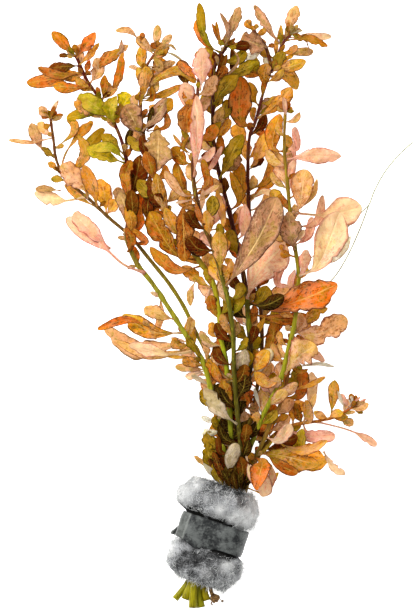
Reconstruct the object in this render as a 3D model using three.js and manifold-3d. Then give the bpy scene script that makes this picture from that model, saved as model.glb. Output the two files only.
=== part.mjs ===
// A bunch of cut ludwigia stems for an aquarium, lying on a surface. Filter wool pads the stems
// below their leaves, and a bent strip of lead holds the wool.
// Millimetres. +Z is up, +Y runs from the cut ends to the leafy tips, and z = 0 is the surface.

import * as THREE from "three";
import { mergeVertices } from "three/addons/utils/BufferGeometryUtils.js";
import Module from "manifold-3d";

const wasm = await Module();
wasm.setup();

// Driving dimensions
const gridStep = 0.4;
const gridCentre = { across: 208, down: 305.5 };
const gap = 0.3;
const leafThickness = 1.0;
const leafSides = 3;
const leafStalkWidth = 1.2;
const leafCup = 0.08;
const stemSides = 5;
const strip = { length: 10.4, thickness: 1.0 };
const wool = { flatness: 0.72, height: 11.2, holeWidth: 16, holeCentre: 1.8, length: 41 };
const bundle = {
  turn: 19.1, middle: [212.6, 534.25], height: 12, top: 54, bottom: -54, hiddenEnd: -42,
};
const rootThreadWidth = 0.4;
const rootKnot = { place: [215, 599], height: 12, radius: 1.8 };

// Every route below is a list of points [across, down, height]. Across and down are squares of a
// drawing grid seen from above, gridStep wide, and the height is in millimetres.
function onGrid([across, down, height]) {
  const x = (across - gridCentre.across) * gridStep;
  const y = (gridCentre.down - down) * gridStep;
  return new THREE.Vector3(x, y, height);
}

// A place in the wrapped bundle, from its distances across and along the bundle in grid squares.
function inBundle(across, along, height) {
  const turn = THREE.MathUtils.degToRad(bundle.turn);
  const [middleAcross, middleDown] = bundle.middle;
  const sideways = middleAcross + across * Math.cos(turn) + along * Math.sin(turn);
  const down = middleDown + across * Math.sin(turn) - along * Math.cos(turn);
  return [sideways, down, height];
}

// Materials
function finish(colour, roughness, metalness = 0) {
  return new THREE.MeshStandardMaterial({ color: colour, roughness, metalness });
}

const materials = {
  amber: finish(0xcf8a3c, 0.5),
  orange: finish(0xeb9a48, 0.5),
  salmon: finish(0xe59468, 0.5),
  blush: finish(0xf8bea4, 0.5),
  rust: finish(0xb45f24, 0.5),
  maroon: finish(0x6b1a0c, 0.5),
  olive: finish(0x8a7612, 0.5),
  lime: finish(0xbfa024, 0.5),
  tan: finish(0xbd8c55, 0.5),
  mauve: finish(0xb07a6c, 0.5),
  cream: finish(0xeacba2, 0.5),
  greenStem: finish(0x93962c, 0.45),
  darkStem: finish(0x4f2410, 0.45),
  wool: finish(0x969694, 1),
  lead: finish(0x4c4f4d, 0.55, 0.8),
  root: finish(0x5a2a18, 0.8),
  rootThread: finish(0xcfd3be, 0.7),
};

// Solids and meshes
function toSolid(geometry) {
  geometry.deleteAttribute("normal");
  geometry.deleteAttribute("uv");
  const merged = mergeVertices(geometry, 1e-5);
  const vertProperties = new Float32Array(merged.attributes.position.array);
  const triVerts = new Uint32Array(merged.index.array);
  return new wasm.Manifold(new wasm.Mesh({ numProp: 3, vertProperties, triVerts }));
}

function toMesh(name, solid, material) {
  const { vertProperties, triVerts } = solid.getMesh();
  const geometry = new THREE.BufferGeometry();
  geometry.setAttribute("position", new THREE.BufferAttribute(new Float32Array(vertProperties), 3));
  geometry.setIndex(new THREE.BufferAttribute(new Uint32Array(triVerts), 1));
  geometry.computeVertexNormals();
  const mesh = new THREE.Mesh(geometry, material);
  mesh.name = name;
  return mesh;
}

function largestPiece(solid) {
  const pieces = solid.decompose();
  return pieces.reduce((most, piece) => (piece.volume() > most.volume() ? piece : most));
}

// A closed cylinder bent along a line of stations. Each station has its point, the direction of
// the line there, a half width, a half thickness and a cup by which the edges curl up.
function bentAlong(stations, sides, roll = 0) {
  const rows = stations.length - 1;
  const geometry = new THREE.CylinderGeometry(1, 1, 1, sides, rows, false, Math.PI);
  const position = geometry.attributes.position;
  const side = new THREE.Vector3();
  const normal = new THREE.Vector3();
  for (let i = 0; i < position.count; i += 1) {
    const across = position.getX(i);
    const up = position.getZ(i);
    const row = Math.round((position.getY(i) + 0.5) * rows);
    const { point, along, halfWidth, halfThickness, cup } = stations[row];
    side.set(along.y, -along.x, 0).normalize().applyAxisAngle(along, roll);
    normal.crossVectors(side, along);
    const place = point.clone().addScaledVector(side, across * halfWidth);
    place.addScaledVector(normal, up * halfThickness + cup * Math.abs(across) * halfWidth);
    position.setXYZ(i, place.x, place.y, place.z);
  }
  return toSolid(geometry);
}

// A round tube with a row at every point of its route.
function tube(route, radiusAt, sides) {
  const curve = new THREE.CatmullRomCurve3(route.map(onGrid), false, "centripetal");
  const stations = route.map((_, i) => {
    const t = i / (route.length - 1);
    const radius = radiusAt(t);
    const along = curve.getTangent(t);
    return { point: curve.getPoint(t), along, halfWidth: radius, halfThickness: radius, cup: 0 };
  });
  return bentAlong(stations, sides);
}

// Leaves. The blade is widest past its middle and tapers to a stalk. Its section is three-sided,
// with the midrib standing out below.
const bladeStart = 0.16;
const bladeRows = [0, bladeStart, 0.36, 0.64, 0.87, 1];
const smallBladeRows = [0, bladeStart, 0.62, 1];
const tipWidth = 0.18;

function bladeHalfWidth(t, width) {
  const stalk = leafStalkWidth / 2;
  const along = Math.max(0, (t - bladeStart) / (1 - bladeStart));
  const blade = Math.sin(Math.PI * along ** 1.36) ** 0.8 || 0;
  const tip = t === 1 ? (tipWidth * width) / 2 : 0;
  return Math.max(t === 1 ? tip : stalk, (blade * width) / 2);
}

function leafSolid([, width, rollDegrees, ...route], rows = bladeRows, clearance = 0) {
  const curve = new THREE.CatmullRomCurve3(route.map(onGrid), false, "centripetal");
  const cornerReach = Math.sin((2 * Math.PI) / leafSides);
  const halfThickness = leafThickness / 2 + clearance;
  const stations = rows.map((t) => {
    const halfWidth = (bladeHalfWidth(t, width * gridStep) + clearance) / cornerReach;
    const along = curve.getTangentAt(t);
    return { point: curve.getPointAt(t), along, halfWidth, halfThickness, cup: leafCup };
  });
  return bentAlong(stations, leafSides, THREE.MathUtils.degToRad(rollDegrees));
}

// Stems. A stem's route runs from its tip to the bundle, through the wool and on to its cut end.
function stemRadius(stem, t) {
  const grown = THREE.MathUtils.smoothstep(t, 0, 0.45);
  return THREE.MathUtils.lerp(stem.tipRadius, stem.radius, grown);
}

function stemRoute(stem) {
  const { across, height } = stem.slot;
  const top = inBundle(across, bundle.top, height);
  const bottom = inBundle(across, stem.cutEnd ? bundle.bottom : bundle.hiddenEnd, height);
  const cut = stem.cutEnd ? [stem.cutEnd] : [];
  return [...stem.route, top, bottom, ...cut];
}

function stemTube(stem, clearance = 0) {
  return tube(stemRoute(stem), (t) => stemRadius(stem, t) + clearance, stemSides);
}

function branchTube(branch, clearance = 0) {
  const radiusAt = (t) => THREE.MathUtils.lerp(branch.tipRadius, branch.radius, t) + clearance;
  return tube(branch.route, radiusAt, stemSides);
}

// The nine stems, from the far left to the right. A leaf is its tone, its width in grid squares,
// its roll in degrees, and the points of its midrib from the stem to the tip.
const farLeftStem = {
  name: "far_left_stem",
  tone: "darkStem",
  radius: 0.95,
  tipRadius: 0.6,
  slot: { across: -7.5, height: 9.2 },
  cutEnd: [175, 600, 10],
  route: [
    [50, 118, 9], [53, 140, 8], [56, 160, 8], [66, 179, 8], [88, 198, 8], [108, 217, 9],
    [130, 236, 10], [150, 260, 11], [170, 285, 11], [185, 309, 11], [195, 331, 11],
    [206, 352, 11], [213, 380, 10.5], [220, 430, 10], [223, 465, 9.5],
  ],
  leaves: [
    ["orange", 20, 15, [88, 198, 9], [82, 185, 11], [61, 164, 14]],
    ["salmon", 16, -25, [97, 206, 9], [94, 190, 15], [84, 165, 20]],
    ["orange", 20, 10, [106, 215, 9], [104, 200, 7], [100, 178, 4]],
    ["cream", 15, 5, [86, 196, 8], [60, 198, 4], [33, 192, 0.8]],
  ],
  sprigs: [
    ["amber", 11, 20, [50, 119, 9], [38, 107, 12]],
    ["amber", 7, 10, [51, 123, 9], [43, 127, 7]],
    ["lime", 14, -15, [54, 156, 8], [38, 148, 6], [30, 122, 3]],
    ["rust", 8, 20, [55, 157, 8], [41, 147, 12]],
    ["olive", 8, 0, [54, 148, 8], [73, 128, 6], [67, 116, 5]],
    ["olive", 9, 15, [60, 169, 8], [92, 120, 4]],
    ["lime", 13, 10, [68, 181, 8], [86, 150, 10], [78, 134, 11]],
    ["olive", 12, -10, [75, 188, 8], [84, 165, 5], [103, 127, 2]],
    ["blush", 7, 0, [61, 172, 8], [47, 162, 6]],
    ["orange", 8, 10, [67, 181, 8], [50, 178, 5]],
    ["orange", 8, 0, [98, 208, 8.5], [64, 184, 5]],
  ],
};

const leftStem = {
  name: "left_stem",
  tone: "greenStem",
  radius: 1.15,
  tipRadius: 0.7,
  slot: { across: -4, height: 12 },
  cutEnd: [185, 600, 12],
  route: [
    [76, 56, 20], [87, 80, 19], [103, 104, 18], [116, 127, 17], [124, 149, 17], [129, 182, 16],
    [129, 210, 15], [127, 238, 15], [136, 262, 15], [152, 283, 15], [170, 310, 15],
    [184, 332, 15], [203, 362, 14.5], [211, 390, 14], [221, 430, 13.2], [226, 465, 12.4],
  ],
  leaves: [
    ["amber", 16, 15, [82, 73, 19], [50, 78, 15], [26, 82, 10]],
    ["lime", 20, 10, [102, 104, 18.5], [92, 105, 21], [74, 104, 24]],
    ["lime", 20, -15, [113, 121, 17.5], [120, 110, 20], [131, 95, 23]],
    ["lime", 17, 10, [125, 163, 16.5], [108, 156, 20], [87, 148, 22]],
    ["rust", 20, -10, [130, 203, 16], [137, 180, 20], [141, 155, 23]],
    ["salmon", 22, 5, [145, 273, 16], [124, 264, 19], [104, 246, 17], [66, 217, 9]],
    ["olive", 18, 5, [183, 333, 14], [153, 332, 11], [122, 315, 6]],
    ["orange", 20, 0, [184, 344, 14], [146, 348, 6], [127, 344, 3.5], [103, 328, 0.8]],
    ["cream", 16, -10, [192, 352, 15.5], [165, 356, 18], [129, 345, 17]],
  ],
  sprigs: [
    ["amber", 14, -10, [85, 76, 19.5], [104, 64, 23], [121, 50, 26]],
    ["salmon", 13, 15, [77, 58, 20.5], [84, 46, 24], [96, 33, 27]],
    ["amber", 13, 15, [76, 57, 20], [52, 32, 23]],
    ["salmon", 8, 0, [80, 65, 20], [100, 43, 22]],
    ["rust", 12, 20, [79, 66, 19.5], [48, 68, 16]],
    ["orange", 13, 15, [91, 88, 19], [70, 88, 22], [53, 86, 24]],
    ["salmon", 7, 0, [83, 74, 19.4], [88, 90, 15]],
    ["olive", 9, 10, [100, 100, 18], [112, 90, 17], [123, 51, 15]],
    ["lime", 12, 10, [106, 110, 18], [66, 118, 12]],
    ["orange", 9, 0, [102, 103, 18], [105, 75, 20]],
    ["rust", 7, 0, [125, 154, 17], [132, 128, 19]],
    ["rust", 7, 10, [126, 158, 17], [140, 131, 18]],
    ["mauve", 11, -15, [129, 204, 15], [126, 164, 12]],
    ["mauve", 12, 10, [127, 238, 15], [139, 226, 18], [138, 200, 20]],
    ["salmon", 13, 0, [128, 228, 15], [125, 218, 13], [120, 192, 9]],
    ["rust", 8, 0, [138, 266, 15], [132, 245, 12]],
    ["amber", 8, 0, [160, 294, 15], [158, 318, 10], [155, 340, 7]],
    ["salmon", 16, 10, [176, 320, 15], [166, 318, 18], [144, 308, 20]],
    ["salmon", 10, 0, [193, 348, 15], [150, 352, 11], [114, 340, 8]],
    ["orange", 11, 10, [206, 367, 14.5], [182, 360, 19]],
    ["salmon", 9, 0, [207, 370, 14.5], [175, 367, 12]],
    ["blush", 10, 0, [221, 432, 13], [202, 434, 17]],
    ["lime", 13, 10, [224, 462, 12.6], [212, 462, 15], [205, 441, 17]],
    ["cream", 7, 0, [224, 466, 12.4], [214, 474, 15], [203, 463, 19]],
  ],
};

const middleLeftStem = {
  name: "middle_left_stem",
  tone: "greenStem",
  radius: 1.15,
  tipRadius: 0.6,
  slot: { across: -0.5, height: 14.8 },
  cutEnd: [193, 608, 14],
  route: [
    [157, 52, 30], [146, 69, 30], [141, 95, 30], [143, 130, 29], [152, 170, 28], [168, 215, 27],
    [187, 243, 26], [200, 262, 26], [212, 280, 25], [218, 305, 24], [221, 335, 23],
    [226, 362, 21], [229, 400, 19.5], [231, 435, 17.6], [231, 465, 16],
  ],
  leaves: [
    ["rust", 11, 0, [143, 93, 31], [164, 78, 35], [182, 73, 34], [196, 84, 31]],
    ["tan", 24, 10, [142, 136, 29.5], [136, 126, 32], [126, 106, 35]],
    ["tan", 26, -15, [154, 178, 29], [157, 158, 33], [158, 131, 36]],
    ["tan", 14, 15, [170, 221, 27.5], [166, 198, 31], [163, 172, 34]],
    ["amber", 24, 0, [197, 260, 26], [180, 254, 28], [150, 212, 30]],
  ],
  sprigs: [
    ["lime", 14, 5, [211, 288, 24.5], [198, 278, 22], [182, 266, 20]],
    ["amber", 11, 10, [155, 57, 30], [137, 38, 33]],
    ["salmon", 9, 0, [156, 52, 30], [158, 26, 31]],
    ["rust", 7, 0, [156, 54, 30], [140, 44, 27]],
    ["rust", 8, 0, [157, 52, 30], [172, 36, 33]],
    ["olive", 9, 10, [148, 68, 30], [176, 63, 28]],
    ["amber", 15, 10, [141, 106, 30], [143, 88, 34], [147, 68, 37]],
    ["blush", 7, 0, [143, 88, 30], [163, 70, 27]],
    ["orange", 8, 0, [141, 100, 30], [160, 95, 29], [183, 86, 27]],
    ["salmon", 13, 10, [142, 118, 29.5], [158, 112, 32], [173, 100, 34]],
    ["rust", 12, 10, [151, 166, 28], [148, 214, 24], [160, 198, 22]],
    ["mauve", 12, 14, [169, 218, 26.6], [150, 206, 23]],
    ["salmon", 14, 5, [202, 266, 26], [177, 268, 23], [150, 247, 17]],
    ["rust", 9, 0, [221, 340, 22.5], [211, 334, 24], [212, 322, 27]],
    ["olive", 12, 5, [227, 375, 20.5], [222, 400, 17], [214, 418, 15]],
    ["amber", 13, 0, [230, 412, 19], [228, 396, 23], [222, 379, 26]],
    ["lime", 7, 0, [231, 455, 16.6], [220, 452, 19], [218, 436, 22]],
  ],
};

const pinkShoot = {
  name: "pink_shoot",
  tone: "darkStem",
  radius: 1.05,
  tipRadius: 0.7,
  slot: { across: 6.5, height: 14.8 },
  route: [
    [202, 62, 38], [199, 80, 37], [196, 120, 36], [193, 172, 35], [196, 197, 34], [202, 220, 33],
    [212, 245, 32], [220, 270, 31], [229, 305, 29], [233, 335, 27], [234, 372, 23.5],
    [237, 410, 21], [240, 440, 18.7], [240, 465, 16.6],
  ],
  leaves: [
    ["blush", 18, 5, [200, 92, 38], [203, 80, 41], [202, 50, 44]],
    ["blush", 17, -15, [197, 107, 36], [188, 106, 35], [185, 84, 38]],
    ["orange", 20, 10, [195, 106, 37], [189, 112, 40], [187, 134, 38]],
    ["salmon", 14, 5, [194, 178, 36], [195, 140, 40], [197, 97, 43]],
    ["amber", 16, -20, [192, 165, 35], [184, 163, 33], [172, 148, 31]],
    ["rust", 19, 5, [197, 205, 35], [184, 207, 36], [182, 232, 34], [185, 262, 31]],
    ["orange", 16, -5, [221, 275, 32], [220, 257, 35], [219, 232, 37]],
    ["tan", 32, 5, [226, 286, 31], [240, 262, 36], [277, 198, 35]],
    ["cream", 17, 10, [237, 424, 21], [222, 414, 24], [204, 388, 26]],
  ],
  sprigs: [
    ["salmon", 10, 0, [199, 84, 37], [178, 63, 34]],
    ["rust", 9, 0, [196, 190, 34.5], [205, 186, 36], [203, 160, 39]],
    ["amber", 13, 15, [196, 196, 34], [184, 194, 31], [176, 163, 28]],
    ["salmon", 10, 0, [195, 196, 34], [184, 196, 36], [165, 172, 38]],
    ["salmon", 9, 0, [206, 232, 32.5], [223, 226, 31], [217, 190, 29]],
    ["tan", 13, 10, [215, 254, 32], [201, 232, 29]],
    ["orange", 13, 10, [210, 240, 32], [206, 211, 37]],
    ["amber", 10, 0, [222, 276, 31], [232, 276, 31.5], [226, 258, 32]],
    ["rust", 9, 0, [233, 338, 27], [221, 314, 31]],
    ["amber", 10, 0, [234, 378, 23], [220, 380, 26], [213, 362, 28]],
  ],
};

const darkStem = {
  name: "dark_stem",
  tone: "darkStem",
  radius: 1.15,
  tipRadius: 0.8,
  slot: { across: 3, height: 12 },
  cutEnd: [201, 608, 12],
  route: [
    [226, 47, 24], [215, 66, 24], [213, 105, 23], [214, 147, 22], [222, 185, 21.5],
    [228, 207, 21], [237, 245, 20], [245, 285, 19], [249, 330, 18], [250, 372, 17],
    [243, 395, 16], [239, 415, 15], [236, 440, 14], [233, 465, 12.8],
  ],
  leaves: [
    ["olive", 17, 15, [214, 105, 23.5], [222, 94, 26], [238, 76, 29]],
    ["olive", 17, -10, [220, 179, 22.5], [229, 160, 25], [243, 135, 27]],
    ["salmon", 26, -10, [247, 298, 20], [262, 278, 23], [285, 242, 22]],
    ["orange", 32, 5, [250, 305, 19.5], [272, 312, 24], [300, 304, 27.5], [337, 287, 27]],
    ["tan", 17, 5, [249, 381, 18], [243, 376, 21], [245, 349, 25]],
    ["orange", 16, -10, [251, 375, 17.5], [258, 366, 21], [268, 350, 24]],
  ],
  sprigs: [
    ["maroon", 14, 10, [229, 212, 20.5], [240, 198, 18], [240, 162, 15]],
    ["amber", 10, 0, [221, 54, 24], [210, 44, 27], [199, 4, 30]],
    ["amber", 9, 0, [222, 53, 24], [208, 44, 22], [196, 20, 19]],
    ["mauve", 11, 10, [221, 54, 24], [228, 36, 28], [240, 8, 31]],
    ["olive", 10, 15, [226, 48, 24], [250, 46, 20]],
    ["olive", 10, 10, [214, 78, 24], [231, 76, 21], [232, 48, 18]],
    ["olive", 7, 0, [214, 84, 24], [227, 55, 27]],
    ["rust", 12, 5, [214, 78, 24], [240, 72, 22], [259, 62, 19]],
    ["lime", 13, 10, [213, 118, 22.5], [206, 92, 18]],
    ["blush", 14, 10, [214, 137, 22], [222, 107, 28]],
    ["olive", 8, 0, [214, 156, 22], [208, 133, 19]],
    ["olive", 11, 0, [215, 147, 22], [230, 119, 19]],
    ["orange", 11, 10, [229, 211, 21], [238, 202, 24], [230, 172, 29]],
    ["mauve", 13, 0, [236, 241, 20], [243, 234, 22], [245, 204, 26]],
    ["maroon", 16, 5, [249, 303, 18.5], [270, 298, 16], [290, 286, 12]],
    ["amber", 9, 0, [249, 326, 18], [242, 322, 15], [236, 302, 12]],
    ["amber", 10, 0, [249, 348, 17.5], [256, 326, 23]],
    ["lime", 7, 0, [250, 350, 17.5], [265, 317, 20]],
    ["maroon", 14, 0, [250, 354, 17.5], [266, 348, 15], [276, 315, 12]],
    ["lime", 12, 5, [240, 411, 15], [245, 404, 18], [243, 390, 20]],
  ],
};

const rightTopStem = {
  name: "right_top_stem",
  tone: "darkStem",
  radius: 0.95,
  tipRadius: 0.6,
  slot: { across: 6.5, height: 9.2 },
  route: [
    [291, 34, 13], [283, 43, 12], [276, 60, 12], [271, 70, 12], [262, 97, 12], [256, 120, 12],
    [250, 135, 11], [248, 170, 10], [249, 205, 10], [254, 260, 9], [260, 300, 9], [262, 350, 9],
    [257, 390, 9], [249, 430, 9], [241, 465, 9.2],
  ],
  branches: [
    {
      radius: 0.8,
      tipRadius: 0.6,
      route: [[254, 31, 15], [266, 47, 14], [272, 70, 12]],
    },
  ],
  leaves: [
    ["amber", 26, 10, [267, 47, 15.5], [256, 44, 19], [241, 38, 17]],
    ["lime", 16, -10, [258, 118, 12.5], [273, 106, 16], [292, 88, 19]],
    ["orange", 16, 10, [251, 167, 10.5], [260, 152, 13], [271, 132, 15]],
    ["rust", 24, 10, [255, 126, 11.5], [242, 122, 15], [240, 76, 17]],
  ],
  sprigs: [
    ["mauve", 14, 10, [273, 68, 12], [288, 66, 16], [306, 61, 18]],
    ["amber", 11, 0, [282, 45, 12], [270, 28, 7], [255, 6, 1]],
    ["amber", 13, 10, [284, 42, 12], [297, 5, 16]],
    ["orange", 9, 5, [288, 37, 12.5], [310, 36, 8], [332, 35, 3]],
    ["orange", 9, 5, [286, 40, 12.5], [310, 40, 15], [328, 46, 16]],
    ["lime", 9, 0, [279, 54, 12], [296, 52, 9], [314, 50, 6]],
    ["olive", 14, 10, [271, 76, 12], [288, 74, 8], [298, 88, 0.8]],
    ["lime", 9, 0, [271, 73, 12], [243, 73, 7]],
    ["orange", 10, 0, [272, 72, 12], [264, 52, 9]],
    ["lime", 9, 0, [254, 32, 15], [246, 20, 17]],
    ["rust", 8, 0, [251, 132, 11], [266, 131, 8]],
    ["orange", 12, 10, [249, 190, 10], [266, 180, 13], [276, 150, 17]],
    ["amber", 10, 10, [249, 200, 10], [262, 190, 7], [278, 175, 4]],
    ["blush", 8, 0, [249, 202, 10], [262, 190, 13], [280, 197, 14]],
    ["amber", 10, 0, [249, 432, 9], [255, 420, 11], [252, 403, 12]],
  ],
};

const rightStem = {
  name: "right_stem",
  tone: "greenStem",
  radius: 1.05,
  tipRadius: 0.7,
  slot: { across: 10, height: 12 },
  cutEnd: [207, 601, 12],
  route: [
    [285, 113, 26], [284, 148, 26], [287, 180, 26], [289, 205, 26], [294, 243, 25],
    [298, 270, 24], [297, 300, 22.8], [294, 325, 22.5], [288, 350, 21.5], [283, 372, 20.5],
    [272, 397, 19], [261, 420, 17], [253, 440, 14.8], [245, 465, 12.8],
  ],
  leaves: [
    ["amber", 17, 10, [284, 152, 24.5], [274, 148, 22], [280, 114, 20]],
    ["blush", 17, 5, [287, 160, 27], [305, 157, 30], [341, 157, 28]],
    ["salmon", 24, -10, [291, 216, 26.5], [300, 208, 28], [305, 170, 32]],
    ["salmon", 26, 10, [291, 213, 25], [325, 213, 20], [362, 204, 14]],
    ["blush", 32, 5, [299, 276, 25], [314, 268, 27], [339, 212, 26]],
    ["rust", 20, 0, [294, 250, 26], [290, 238, 30], [288, 212, 33]],
    ["amber", 26, -5, [294, 332, 21.5], [318, 332, 15], [347, 315, 9]],
    ["salmon", 28, 10, [285, 374, 21.5], [294, 362, 24], [316, 345, 25]],
  ],
  sprigs: [
    ["salmon", 9, 0, [285, 118, 26], [288, 96, 29]],
    ["blush", 11, 0, [285, 155, 26], [298, 150, 28], [294, 128, 33]],
    ["rust", 8, 0, [287, 180, 26], [294, 160, 28]],
    ["amber", 9, 0, [291, 226, 25.5], [314, 222, 22], [323, 195, 18]],
    ["olive", 8, 0, [289, 212, 26], [278, 195, 28]],
    ["orange", 11, 5, [298, 278, 24], [303, 270, 26], [306, 250, 31]],
    ["rust", 10, 5, [298, 286, 23.2], [278, 284, 19], [285, 250, 17]],
    ["amber", 13, 10, [281, 378, 20.3], [268, 382, 23], [254, 372, 26]],
    ["maroon", 10, 0, [253, 441, 14.6], [240, 462, 18], [228, 472, 21]],
    ["blush", 10, 0, [258, 428, 16], [256, 412, 20]],
  ],
};

const shortStem = {
  name: "short_stem",
  tone: "greenStem",
  radius: 0.95,
  tipRadius: 0.7,
  slot: { across: 17, height: 12 },
  route: [
    [293, 345, 18], [290, 360, 17], [287, 380, 16.5], [280, 405, 15.5], [272, 420, 14.5],
    [264, 440, 13], [252, 465, 12],
  ],
  leaves: [
    ["rust", 17, 5, [284, 398, 15], [299, 396, 13], [303, 369, 12]],
  ],
  sprigs: [
    ["salmon", 9, 0, [292, 350, 17.5], [302, 340, 15], [310, 322, 12]],
    ["blush", 14, 10, [266, 437, 13.2], [277, 440, 15], [291, 424, 18]],
    ["orange", 22, 10, [256, 458, 12.6], [262, 462, 18], [260, 474, 26], [256, 490, 29]],
  ],
};

const lowRightShoot = {
  name: "low_right_shoot",
  tone: "darkStem",
  radius: 0.95,
  tipRadius: 0.6,
  slot: { across: 13.5, height: 9.2 },
  route: [
    [353, 407, 9], [341, 415, 8], [330, 419, 8], [315, 422, 8], [300, 424, 8], [283, 429, 8],
    [270, 440, 8.5], [258, 458, 9],
  ],
  leaves: [
    ["olive", 27, 5, [262, 454, 7.5], [292, 460, 5], [330, 461, 1.2]],
  ],
  sprigs: [
    ["amber", 12, 10, [331, 418, 8], [332, 400, 11], [335, 380, 14]],
    ["orange", 8, 0, [330, 419, 8], [314, 412, 11]],
    ["lime", 8, 0, [351, 408, 9], [366, 409, 7]],
    ["orange", 10, 10, [339, 416, 8], [354, 426, 5]],
    ["salmon", 8, 0, [316, 422, 8], [332, 427, 5], [378, 446, 1]],
    ["rust", 10, 0, [302, 424, 8], [295, 403, 10]],
    ["olive", 11, 10, [300, 424, 8], [310, 422, 10], [306, 400, 12]],
    ["salmon", 12, 5, [304, 423, 8], [312, 396, 5], [312, 372, 3]],
    ["salmon", 14, 10, [283, 429, 8], [306, 438, 7], [336, 437, 6]],
    ["orange", 10, 5, [272, 438, 8.5], [297, 449, 10], [328, 441, 12]],
    ["salmon", 12, 5, [264, 450, 9], [278, 462, 11], [298, 474, 12]],
    ["amber", 9, 0, [266, 446, 8.7], [320, 462, 9.5], [338, 476, 8]],
  ],
};

const stems = [
  farLeftStem, leftStem, middleLeftStem, pinkShoot, darkStem, rightTopStem, rightStem, shortStem,
  lowRightShoot,
];

// The filter wool: a closed ring around the stems, squeezed at the strip, flat where it rests.
// Each row is a place along the bundle and the half width of the wool there.
const woolOutline = [
  [19.8, 10], [17.5, 14], [13, 17.2], [8.5, 16.4], [6.4, 13.2], [5.5, 11.8], [-5.5, 11.8],
  [-6.4, 13.2], [-9, 15.6], [-13, 15.2], [-17.5, 12.8], [-20.6, 9.5],
];

function alongBundle(solid, height) {
  const { x, y } = onGrid([...bundle.middle, 0]);
  return solid.rotate([0, 0, -bundle.turn]).translate([x, y, height]);
}

function woolSolid() {
  const holeHalfWidth = wool.holeWidth / 2;
  const halfLength = wool.length / 2;
  const profile = woolOutline.map(([along, halfWidth]) => new THREE.Vector2(halfWidth, along));
  profile.unshift(new THREE.Vector2(0, profile[0].y));
  profile.push(new THREE.Vector2(0, profile[profile.length - 1].y));
  const body = new THREE.LatheGeometry(profile.reverse(), 20);
  const hole = new THREE.CylinderGeometry(holeHalfWidth, holeHalfWidth, 2 * wool.length, 16);
  hole.translate(wool.holeCentre, 0, (bundle.height - wool.height) / wool.flatness);
  const below = new THREE.BoxGeometry(4 * halfLength, 4 * halfLength, wool.height);
  below.translate(0, 0, -wool.height * 1.5);
  const ring = toSolid(body).subtract(toSolid(hole)).scale([1, 1, wool.flatness]);
  return alongBundle(ring.subtract(toSolid(below)), wool.height);
}

// The lead strip, bent around the waist of the wool with a sharp fold at its upper left and its
// other end sticking out below. Its middle line is drawn across the bundle and in height, from
// the middle of the wool.
const stripLine = [
  [-15.6, -2.4], [-13.6, -4.8], [-10.6, -7.6], [-5, -9.0], [2, -9.3], [8.6, -8.2], [12.3, -5.4],
  [13.5, -1], [13.3, 4], [11.4, 7.4], [7.6, 9.0], [0, 9.5], [-7, 9.7], [-13.4, 9.4],
  [-13.8, 5], [-13.5, 1],
];

function stripSolid() {
  const line = stripLine.map(([across, height]) => new THREE.Vector2(across, height));
  const edge = (side) => line.map((point, i) => {
    const before = line[Math.max(0, i - 1)];
    const after = line[Math.min(line.length - 1, i + 1)];
    const along = after.clone().sub(before).normalize();
    const out = new THREE.Vector2(along.y, -along.x);
    return point.clone().addScaledVector(out, (side * strip.thickness) / 2);
  });
  const outline = new THREE.Shape([...edge(1), ...edge(-1).reverse()]);
  const geometry = new THREE.ExtrudeGeometry(outline, { depth: strip.length, bevelEnabled: false });
  geometry.rotateX(Math.PI / 2);
  geometry.translate(0, strip.length / 2, 0);
  return alongBundle(toSolid(geometry), wool.height);
}

// The knot of roots at the cut ends.
function rootKnotSolid() {
  const ball = new THREE.IcosahedronGeometry(rootKnot.radius, 1);
  const middle = onGrid([...rootKnot.place, rootKnot.height]);
  ball.translate(middle.x, middle.y, middle.z);
  return toSolid(ball);
}

// Two root threads that run out from under the right leaves and meet beyond them.
const rootThreads = [
  [
    [306, 262, 12], [335, 239, 9], [352, 223, 6], [363, 211, 3], [370, 204, 1], [375, 191, 0.6],
    [386, 171, 0.5], [400, 154, 0.5], [414, 141, 0.5],
  ],
  [[312, 296, 10], [333, 279, 8], [347, 258, 5], [361, 228, 2.4], [370, 204, 1]],
];

function rootThreadSolid() {
  const threads = rootThreads.map((route) =>
    tube(route, () => rootThreadWidth / 2, 4));
  return threads[0].add(threads[1]);
}

// Assembly. Stems keep their whole length. A leaf is cut back by the gap where it would meet
// another stem or a leaf that came before it, and the larger part of it stays.
const bunch = new THREE.Group();
const taken = [];

function place(name, solid, material) {
  bunch.add(toMesh(name, solid, material));
}

function clearOf(solid, others) {
  return others.reduce((rest, other) => largestPiece(rest.subtract(other)), solid);
}

function stemWithBranches(stem, clearance = 0) {
  const branches = (stem.branches ?? []).map((branch) => branchTube(branch, clearance));
  return branches.reduce((whole, branch) => whole.add(branch), stemTube(stem, clearance));
}

function growStem(stem, otherStems) {
  let solid = stemWithBranches(stem);
  for (const sprig of stem.sprigs) {
    solid = solid.add(clearOf(leafSolid(sprig, smallBladeRows), [...otherStems, ...taken]));
  }
  return largestPiece(solid);
}

place("filter_wool", woolSolid(), materials.wool);
place("lead_strip", stripSolid(), materials.lead);
place("root_knot", rootKnotSolid(), materials.root);

for (const stem of stems) {
  const otherStems = stems.filter((other) => other !== stem);
  const clearances = otherStems.map((other) => stemWithBranches(other, gap));
  place(stem.name, growStem(stem, clearances), materials[stem.tone]);
  taken.push(...stem.sprigs.map((sprig) => leafSolid(sprig, smallBladeRows, gap)));
}

taken.push(...stems.map((stem) => stemWithBranches(stem, gap)));
for (const stem of stems) {
  stem.leaves.forEach((leaf, i) => {
    place(`${stem.name}_leaf_${i + 1}`, clearOf(leafSolid(leaf), taken), materials[leaf[0]]);
    taken.push(leafSolid(leaf, bladeRows, gap));
  });
}

place("root_threads", clearOf(rootThreadSolid(), taken), materials.rootThread);

// The origin is under the middle of the bunch.
const box = new THREE.Box3().setFromObject(bunch);
const middle = box.getCenter(new THREE.Vector3());
bunch.position.set(-middle.x, -middle.y, 0);

export default bunch;
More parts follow.
